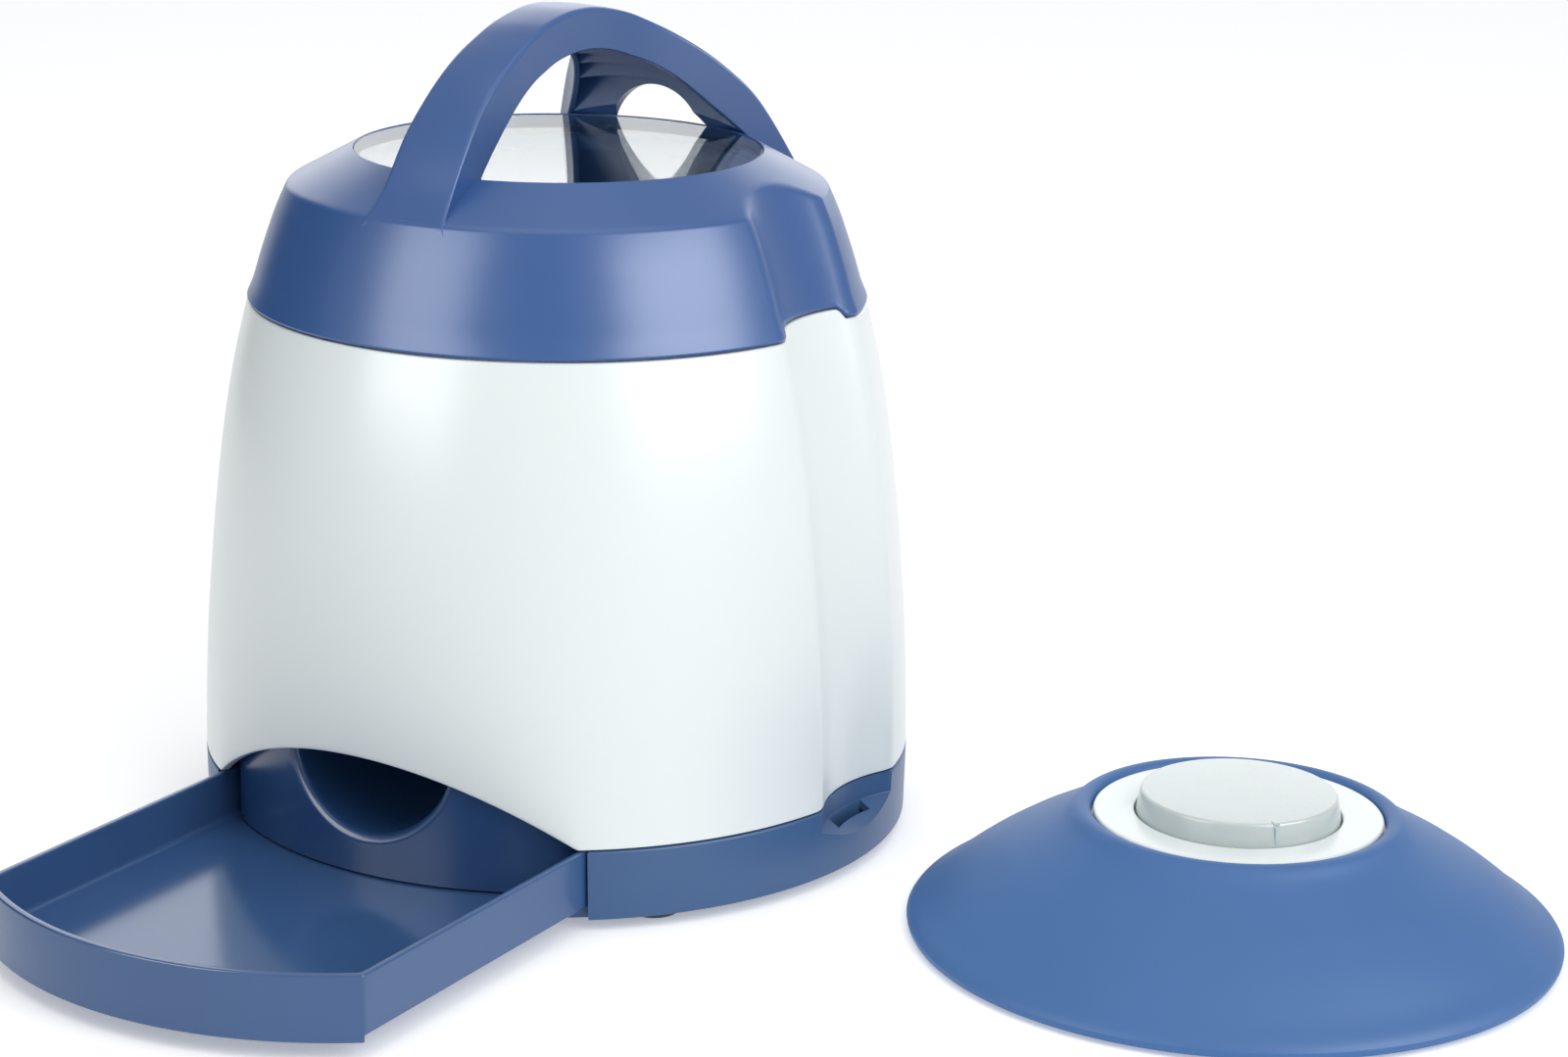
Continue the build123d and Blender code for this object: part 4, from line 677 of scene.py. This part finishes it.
def buildBase():
    size = baseRing
    outline = roundCorners([(0, size["low"]), (size["lowRadius"], size["low"], size["edge"]),
                            (size["radius"], size["top"], size["edge"]),
                            (size["radius"] - size["wall"], size["top"], 0.4),
                            (size["radius"] - size["wall"], size["floor"]), (0, size["floor"])])
    ring = makePiece("baseRing", [lathe(outline, turns=360, closed=False)], finishes["base_blue"])
    centreX = size["radius"] - 0.3 + groove["centreOut"]
    low = size["ledge"] - size["fall"] * size["ledgeReach"]
    skin = 2.4
    radius = size["recessRadius"]
    pockets, cutters = [], []
    for side in (-1, 1):
        shell = [(radius - size["ledgeReach"], size["top"]), (radius + skin, size["top"]),
                 (radius + skin, size["floor"] - 0.2), (radius + 0.07, size["floor"] - 0.2),
                 (radius + 0.07, size["ledge"] - skin),
                 (radius - size["ledgeReach"], low - skin)]
        pocket = makePiece("pocket", [lathe(shell, side * centreX, 0.03, 236)], finishes["base_blue"])
        whole = makePiece("whole", [lathe([(0, size["low"] + 1), (size["lowRadius"] - 0.4, size["low"] + 1),
                                           (size["radius"] - 0.4, size["top"]), (0, size["top"])], turns=360,
                                          closed=False)], finishes["base_blue"])
        carve(pocket, [whole], operation="INTERSECT")
        pockets.append(pocket)
        scoop = roundCorners([(radius - size["ledgeReach"] - 4, size["top"] + 5), (radius, size["top"] + 5),
                              (radius, size["ledge"], 0.5), (radius - size["ledgeReach"], low),
                              (radius - size["ledgeReach"] - 4, low - 2)])
        cutters.append(makePiece("scoop", [lathe(scoop, x=side * centreX, turns=256)], finishes["base_blue"]))
        slot = makePiece("slot", [boxSurface((side * centreX - side * (radius - 1.5) - 8, -size["notchHalf"], 6.4),
                                             (side * centreX - side * (radius - 1.5) + 8, size["notchHalf"], 30))],
                         finishes["base_blue"])
        keep = makePiece("keep", [lathe([(radius - size["notchDepth"], 5), (radius - 0.06, 5), (radius - 0.06, 31),
                                         (radius - size["notchDepth"], 31)], x=side * centreX, turns=244)],
                         finishes["base_blue"])
        carve(slot, [keep], operation="INTERSECT")
        cutters.append(slot)
    carve(ring, pockets, operation="UNION")
    carve(ring, cutters)
    mouth = makePiece("mouth", [boxSurface((-size["mouth"], -110, 1), (size["mouth"], -40, 30))],
                      finishes["base_blue"])
    inner = makePiece("inner", [lathe([(0, -1), (size["mouthRadius"], -1), (size["mouthRadius"], 33), (0, 33)],
                                      turns=360, closed=False)], finishes["base_blue"])
    carve(mouth, [inner])
    carve(ring, [mouth])
    underside = [makePiece("doorRoom", [boxSurface((-31.3, 32.6, 0), (31.3, 91.3, 5.15))], finishes["base_blue"]),
                 makePiece("switchRoom", [boxSurface((-49.2, 44.9, 0), (-40.9, 48.7, 12))], finishes["base_blue"])]
    for x, y in ((67.4, -56.6), (-67.4, -56.6), (67.4, 56.6), (-67.4, 56.6)):
        underside.append(makePiece("footRoom", [lathe([(0, 0), (7.3, 0), (7.3, 3.8), (0, 3.8)], x, y, 48, False)],
                                   finishes["base_blue"]))
    for x, y in ((75, -30), (-75, -30), (46, 66), (-46, 66)):
        underside.append(makePiece("screwRoom", [lathe([(0, 0), (3.2, 0), (3.2, 5.2), (0, 5.2)], x, y, 32, False)],
                                   finishes["base_blue"]))
    carve(ring, underside, creaseDegrees=28)
    return standFor(ring, "base_shell")


# runs beside the drawer, seen inside the mouth
def buildRails():
    rails = [boxSurface((side * 61.2 - 0.8, -74.5, 6.1), (side * 61.2 + 0.8, 39.5, 23)) for side in (-1, 1)]
    rails.append(boxSurface((-60.4, 37.5, 6.1), (60.4, 39.5, 23)))
    piece = makePiece("drawerRuns", rails, finishes["base_blue"])
    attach(piece, "feeder")
    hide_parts("base_shell")
    return piece


# Tray

tray = {"pull": 97.0, "half": 60.0, "wall": 2.0, "frontWall": 2.2, "radius": 100.4, "top": 22.4, "floorLow": 6.5,
        "floorTop": 8.6, "frontLow": 4.7, "back": -62.0, "cornerOut": 1.2, "cornerIn": 1.6, "lip": 0.55,
        "floorSoft": 1.6, "steps": (60, 8, 81)}


# the tray's plan outline from rear left round the bowed front to rear right, inset by a distance
def trayPath(sideInset, frontInset, corner):
    half = tray["half"] - sideInset
    radius = tray["radius"] - frontInset
    count = tray["steps"]
    inner = half - corner
    centreY = -tray["pull"] - math.sqrt((radius - corner) ** 2 - inner ** 2)
    lean = math.atan2(inner, -centreY - tray["pull"])
    side = np.stack([np.full(count[0], -half), np.linspace(tray["back"], centreY, count[0])], -1)
    turn = np.linspace(np.pi, 1.5 * np.pi - lean, count[1] + 2)[1:-1]
    bend = np.stack([-inner + corner * np.cos(turn), centreY + corner * np.sin(turn)], -1)
    sweep = np.linspace(-lean, lean, count[2])
    front = np.stack([radius * np.sin(sweep), -tray["pull"] - radius * np.cos(sweep)], -1)
    left = np.concatenate([side, bend])
    right = left[::-1] * np.array([-1, 1])
    return np.concatenate([left, front, right])


# wall section carried along the plan, and the floor as rows between mirrored wall points
def buildTray():
    outer = trayPath(0, 0, tray["cornerOut"])
    inner = trayPath(tray["wall"], tray["frontWall"], tray["cornerIn"])
    count = len(outer)
    front = np.zeros(count)
    start = tray["steps"][0] + tray["steps"][1] // 2
    front[start:count - start] = 1
    low = tray["floorLow"] + (tray["frontLow"] - tray["floorLow"]) * front
    lip = tray["lip"]
    soft = tray["floorSoft"]
    turn = np.linspace(0, np.pi / 2, 5)
    across = inner - outer
    length = np.linalg.norm(across, axis=1, keepdims=True)
    across = across / length

    def ring(share, extra, height):
        place = outer + across * (length * share + extra)
        return np.concatenate([place, np.broadcast_to(height, (count,))[:, None]], 1)

    rows = [ring(1, 0, low), ring(0, 0.3, low), ring(0, 0, low + 0.3), ring(0, 0, tray["top"] - lip)]
    rows += [ring(0, lip * (1 - np.cos(angle)), tray["top"] - lip * (1 - np.sin(angle))) for angle in turn[1:]]
    rows += [ring(1, -lip * (1 - np.sin(angle)), tray["top"] - lip * (1 - np.cos(angle))) for angle in turn]
    rows += [ring(1, soft * (1 - np.cos(angle)), tray["floorTop"] + soft * (1 - np.sin(angle))) for angle in turn]
    wall = np.stack(rows, 1)
    edgeRow = rows[-1]
    middle = (count + 1) // 2
    leftRow, rightRow = edgeRow[:middle], edgeRow[::-1][:middle]
    share = np.linspace(0, 1, 12)[None, :, None]
    floor = leftRow[:, None] * (1 - share) + rightRow[:, None] * share
    bottom = rows[0]
    leftLow, rightLow = bottom[:middle], bottom[::-1][:middle]
    under = leftLow[:, None] * (1 - share) + rightLow[:, None] * share
    under[..., 2] = tray["floorLow"]
    step = np.stack([bottom, np.concatenate([bottom[:, :2], np.full((count, 1), tray["floorLow"])], 1)], 1)
    back = np.stack([floor[0], under[0]], 0)
    ends = []
    for row in (0, count - 1):
        loop = wall[row]
        centre = loop.mean(0)
        ends.append(surface(np.stack([loop, np.broadcast_to(centre, loop.shape)], 0), closeColumns=True))
    piece = makePiece("trayBox", [surface(wall), surface(floor), surface(under), surface(step), surface(back)] + ends,
                      finishes["tray_blue"], creaseDegrees=30, mergeMm=0.01, patchwork=True)
    return standFor(piece, "tray")


# Outlet wall and pipe

outlet = {"panelRadius": 95.6, "half": 57.3, "low": 9.2, "top": 74.0, "height": 46.0, "bore": 25.5, "soft": 2.8,
          "wall": 2.2, "cornerSoft": 4.0, "back": 83.2, "collar": 28.1, "pipeWall": 1.8, "bend": 49.5,
          "returnTo": -50.0, "returnTop": 25.2, "deck": (62.0, -70.0, 39.5, 23.0, 25.2), "pipeRoom": (28.4, -51.0), "post": (2.6, 1.04, 29.0),
          "postSpots": [(-28, -4), (28, -4), (-28, 28), (28, 28)], "leanFrom": 48.0, "leanShare": 0.009}


# how far back the bowed wall lies at a place, with its two upright edges rounded
def outletWallY(x, z):
    size = outlet
    shrink = np.maximum(z - size["leanFrom"], 0) ** 1.5 * size["leanShare"]
    corner = np.clip(np.abs(x) - (size["half"] - size["cornerSoft"]), 0, size["cornerSoft"])
    round = size["cornerSoft"] - np.sqrt(size["cornerSoft"] ** 2 - corner ** 2)
    return round - np.sqrt((size["panelRadius"] - shrink) ** 2 - x ** 2)


# closed spokes round the outlet: bore, rolled rim, bowed face out to the edge, back face, collar
def buildOutletWall():
    size = outlet
    angle = np.linspace(0, 2 * np.pi, 240, endpoint=False)
    across, up = np.cos(angle)[:, None], np.sin(angle)[:, None]
    limit = np.where(up < 0, size["height"] - size["low"], size["top"] - size["height"])
    reach = np.minimum(size["half"] / np.maximum(np.abs(across), 1e-9), limit / np.maximum(np.abs(up), 1e-9))
    turn = np.linspace(0, np.pi / 2, 9)[None, :]
    roll = size["bore"] + size["soft"] * (1 - np.cos(turn)) + 0 * angle[:, None]
    rollDepth = size["soft"] * (1 - np.sin(turn)) + 0 * angle[:, None]
    start = roll[:, -1:]
    out = start + (reach - start) * np.linspace(0, 1, 24)[None, 1:] ** 1.2
    back = size["collar"] + (reach - size["collar"]) * np.linspace(1, 0, 12)[None, :]
    radius = np.concatenate([roll, out, back], 1)
    depth = np.concatenate([rollDepth, 0 * out, 0 * back + size["wall"]], 1)
    x = radius * across
    z = size["height"] + radius * up
    y = outletWallY(x, z) + depth

    def end(tubeRadius):
        return np.stack([tubeRadius * across, 0 * across - size["back"], size["height"] + tubeRadius * up], -1)

    points = np.concatenate([end(size["bore"]), np.stack([x, y, z], -1), end(size["collar"])], 1)
    solids = [surface(points, closeRows=True, closeColumns=True)]
    cornerY = float(outletWallY(size["half"], size["low"]))
    for side in (-1, 1):
        flank = sorted([side * size["half"], side * (size["half"] - size["wall"])])
        solids.append(boxSurface((flank[0], cornerY - 1, size["low"]), (flank[1], size["returnTo"], size["returnTop"])))
    half, front, rear, low, high = size["deck"]
    roomHalf, roomTo = size["pipeRoom"]
    solids.append(boxSurface((-half, roomTo, low), (half, rear, high)))
    solids += [boxSurface((left, front, low), (right, roomTo, high))
               for left, right in ((-half, -roomHalf), (roomHalf, half))]
    postRadius, hole, postTop = size["post"]
    for x, y in size["postSpots"]:
        solids.append(lathe([(hole, high), (postRadius, high), (postRadius, postTop), (hole, postTop)], x, y, 40))
    piece = makePiece("outletWall", solids, finishes["panel_blue"], creaseDegrees=50, mergeMm=0.004)
    return standFor(piece, "outlet_panel")


# pipe: a circle carried round a quarter turn from the outlet up to the rotor
def buildPipe():
    size = outlet
    sweep = np.linspace(0, np.pi / 2, 48)[:, None]
    around = np.linspace(0, 2 * np.pi, 72, endpoint=False)[None, :]

    def tube(radius):
        reach = size["bend"] + radius * np.cos(around)
        x = np.broadcast_to(radius * np.sin(around), reach.shape) + 0 * sweep
        return np.stack([x, -size["back"] + reach * np.sin(sweep),
                         size["height"] + size["bend"] - reach * np.cos(sweep)], -1)

    inside, outside = tube(size["bore"]), tube(size["bore"] + size["pipeWall"])
    loop = np.concatenate([inside, outside[::-1]], 0)
    piece = makePiece("pipe", [surface(loop, closeRows=True, closeColumns=True)], finishes["panel_blue"])
    return standFor(piece, "chute")


# Buzzer

buzzer = {
    "x": 206.0, "y": 12.0, "keyAt": -45.6,
    "key": [((25.0, -0.55, 34.1), (26.9, 0.55, 38.9)), ((24.2, -0.8, 39.0), (25.9, 0.8, 40.1))],
    "hem": [(85.6, 1.0), (86.3, 1.25), (86.65, 1.9), (86.8, 2.9), (86.78, 3.15)],
    "skirt": [(86.7, 3.3), (86.35, 3.85), (85.2, 5.1), (83.4, 6.4), (81.1, 8.0), (78.9, 9.75),
              (76.5, 11.75), (74, 13.75), (71.3, 15.8), (68.2, 18.0), (65.2, 19.95), (62, 22.0), (58.4, 24.0),
              (54.6, 26.1), (50.8, 28.25), (47.6, 30.2), (45.2, 32.0), (43.6, 33.6), (42.2, 34.5), (41.0, 34.65),
              (39.7, 34.3), (38.9, 33.4), (38.7, 32.2)],
    "under": [(38.7, 30.7), (41.0, 30.7), (45.6, 28.7), (52.6, 25.0), (59.9, 21.1), (66.0, 17.2), (71.8, 13.3),
              (76.5, 9.3), (82.8, 2.7), (83.2, 1.0)],
}


# skirt: its outer curve resampled evenly along its length, then turned
def buildSkirt():
    curve = np.array(buzzer["skirt"], float)
    along = np.concatenate([[0], np.cumsum(np.linalg.norm(np.diff(curve, axis=0), axis=1))])
    even = np.linspace(0, along[-1], 90)
    radius = smoothCurve(np.stack([along, curve[:, 0]], -1))(even)
    height = smoothCurve(np.stack([along, curve[:, 1]], -1))(even)
    outline = np.concatenate([np.array(buzzer["hem"], float), np.stack([radius, height], -1),
                              np.array(buzzer["under"], float)])
    piece = makePiece("buzzerSkirt", [lathe(outline, buzzer["x"], buzzer["y"], 360)], finishes["skirt_blue"], 22)
    return standFor(piece, "buzzer_cover")


# white disc with its rounded outer edge and the hole's rounded edge, and the cone below it
def buildDisc():
    outline = roundCorners([(27.4, 31.6, 0.3), (27.4, 33.9, 0.5), (38.25, 33.9, 0.8), (38.25, 30.2), (41.0, 30.1),
                            (45.6, 28.1), (52.6, 24.4), (59.9, 20.5), (66.0, 16.6), (71.8, 12.7), (76.5, 8.7),
                            (76.5, 5.1), (74.3, 5.1), (76.2, 6.5), (71.5, 10.5), (65.7, 14.4), (59.6, 18.3),
                            (52.3, 22.2), (45.3, 25.9), (38.8, 31.6)])
    piece = makePiece("buzzerDisc", [lathe(outline, buzzer["x"], buzzer["y"], 300)], finishes["body_white"])
    return standFor(piece, "buzzer_housing")


# cap: domed top, small rounded edge, drafted side, thin wall inside, and a small key on the front
def buildCap():
    outline = roundCorners([(0, 40.3), (13, 40.2), (25.75, 39.85, 0.9), (26.95, 33.9), (26.95, 31.1),
                            (30.2, 31.1, 0.3), (30.2, 28.85, 0.3), (25.0, 28.85), (23.8, 38.0, 1.0), (0, 38.4)],
                           steps=9)
    solids = [lathe(outline, buzzer["x"], buzzer["y"], 240, closed=False)]
    turn = math.radians(buzzer["keyAt"])
    spin = np.array([[math.cos(turn), math.sin(turn), 0], [-math.sin(turn), math.cos(turn), 0], [0, 0, 1]])
    for low, high in buzzer["key"]:
        points, faces = boxSurface(low, high)
        solids.append((points @ spin + np.array([buzzer["x"], buzzer["y"], 0]), faces))
    piece = makePiece("pushCap", solids, finishes["button_frost"], 40)
    return standFor(piece, "button_cap")


# foot: a short disc with a rounded tread and a screw hole
def buildFeet():
    places = [(67.4, -56.6), (-67.4, -56.6), (67.4, 56.6), (-67.4, 56.6)]
    outline = roundCorners([(3.2, 0), (7.0, 0, 0.8), (7.0, 3.7), (3.2, 3.7)])
    piece = makePiece("feet", [lathe(outline, x, y, 48) for x, y in places], finishes["foot_rubber"])
    return standFor(piece, "base_feet")


buildBarrel()
print("barrel made")
buildLidWall()
buildHandle()
buildWindow()
print("lid made")
buildBase()
buildRails()
buildFeet()
print("base made")
buildTray()
buildOutletWall()
buildPipe()
print("tray and pipe made")
buildSkirt()
buildDisc()
buildCap()
print("buzzer made")


# Camera, light and floor

view = {"place": (0.5389, -0.8272, 0.3607), "right": (0.8691, 0.4944, 0.0171), "ahead": (-0.472, 0.8391, -0.2705),
        "lens": 82.54}


# the camera's turn has its right, up and backward directions as columns
def makeCamera():
    ahead = np.array(view["ahead"]) / np.linalg.norm(view["ahead"])
    right = np.array(view["right"]) - np.dot(view["right"], ahead) * ahead
    right = right / np.linalg.norm(right)
    up = np.cross(right, ahead)
    camera = bpy.data.objects.new("camera", bpy.data.cameras.new("camera"))
    turn = Matrix(np.stack([right, up, -ahead], -1).tolist()).to_4x4()
    camera.matrix_world = Matrix.Translation(view["place"]) @ turn
    camera.data.lens = view["lens"]
    camera.data.sensor_fit = "HORIZONTAL"
    camera.data.sensor_width = 36
    camera.data.clip_start = 0.01
    bpy.context.scene.collection.objects.link(camera)
    bpy.context.scene.camera = camera


# softboxes: azimuth and elevation in degrees, distance, width and height in metres, radiance, and what they light
lights = {
    "leftGloss": (-112, 24, 1.3, 0.75, 0.85, 6.3, "gloss"),
    "rightGloss": (-9, 25, 1.3, 1.10, 0.80, 8.2, "gloss"),
    "key": (-20, 36, 1.6, 1.20, 1.20, 1.8, "diffuse"),
    "top": (-57, 84, 1.5, 1.40, 1.40, 1.15, "both"),
    "back": (117, 19, 2.4, 3.00, 1.50, 1.35, "gloss"),
}
flag = {"azimuth": -176, "distance": 0.9, "half": 0.42, "top": 0.8}
lightAim = (0.06, 0.0, 0.10)
skyStrength = 0.60


def makeLights():
    for name, (azimuth, elevation, distance, width, height, radiance, use) in lights.items():
        azimuth, elevation = math.radians(azimuth), math.radians(elevation)
        data = bpy.data.lights.new(name, "AREA")
        data.shape = "RECTANGLE"
        data.size = width
        data.size_y = height
        data.energy = radiance * math.pi * width * height
        lamp = bpy.data.objects.new(name, data)
        lamp.visible_diffuse = use != "gloss"
        lamp.visible_glossy = use != "diffuse"
        back = np.array([math.cos(elevation) * math.cos(azimuth), math.cos(elevation) * math.sin(azimuth),
                         math.sin(elevation)])
        right = np.cross((0, 0, 1), back)
        right = right / np.linalg.norm(right)
        turn = Matrix(np.stack([right, np.cross(back, right), back], -1).tolist()).to_4x4()
        lamp.matrix_world = Matrix.Translation((np.array(lightAim) + back * distance).tolist()) @ turn
        bpy.context.scene.collection.objects.link(lamp)
    world = bpy.data.worlds.new("studio")
    world.use_nodes = True
    background = next(node for node in world.node_tree.nodes if node.type == "BACKGROUND")
    background.inputs["Color"].default_value = (0.97, 0.985, 1.0, 1)
    background.inputs["Strength"].default_value = skyStrength
    bpy.context.scene.world = world
    bpy.context.scene.view_settings.view_transform = "Standard"


def makeFloor():
    reach = 6000.0
    corners = np.array([[[-reach, -reach, 0], [-reach, reach, 0]], [[reach, -reach, 0], [reach, reach, 0]]])
    finish = Finish("floorPaper", (0.90, 0.90, 0.90), 0.9)
    finish.set("Emission Color", (1.0, 1.0, 1.0))
    finish.set("Emission Strength", 0.32)
    floor = makePiece("floor", [surface(corners)], finish.material)
    if floor.data.polygons[0].normal.z < 0:
        floor.data.flip_normals()


# a black card out of view darkens what the left side of the object mirrors
def makeFlag():
    angle = math.radians(flag["azimuth"])
    middle = np.array([math.cos(angle), math.sin(angle), 0]) * flag["distance"]
    aside = np.array([-math.sin(angle), math.cos(angle), 0]) * flag["half"]
    up = np.array([0, 0, flag["top"]])
    corners = np.array([[middle - aside, middle - aside + up], [middle + aside, middle + aside + up]]) / mm
    card = makePiece("blackCard", [surface(corners)], Finish("cardBlack", (0.01, 0.01, 0.01), 1.0).material)
    card.visible_camera = False


makeCamera()
makeLights()
makeFloor()
makeFlag()
print("camera, lights and floor made")
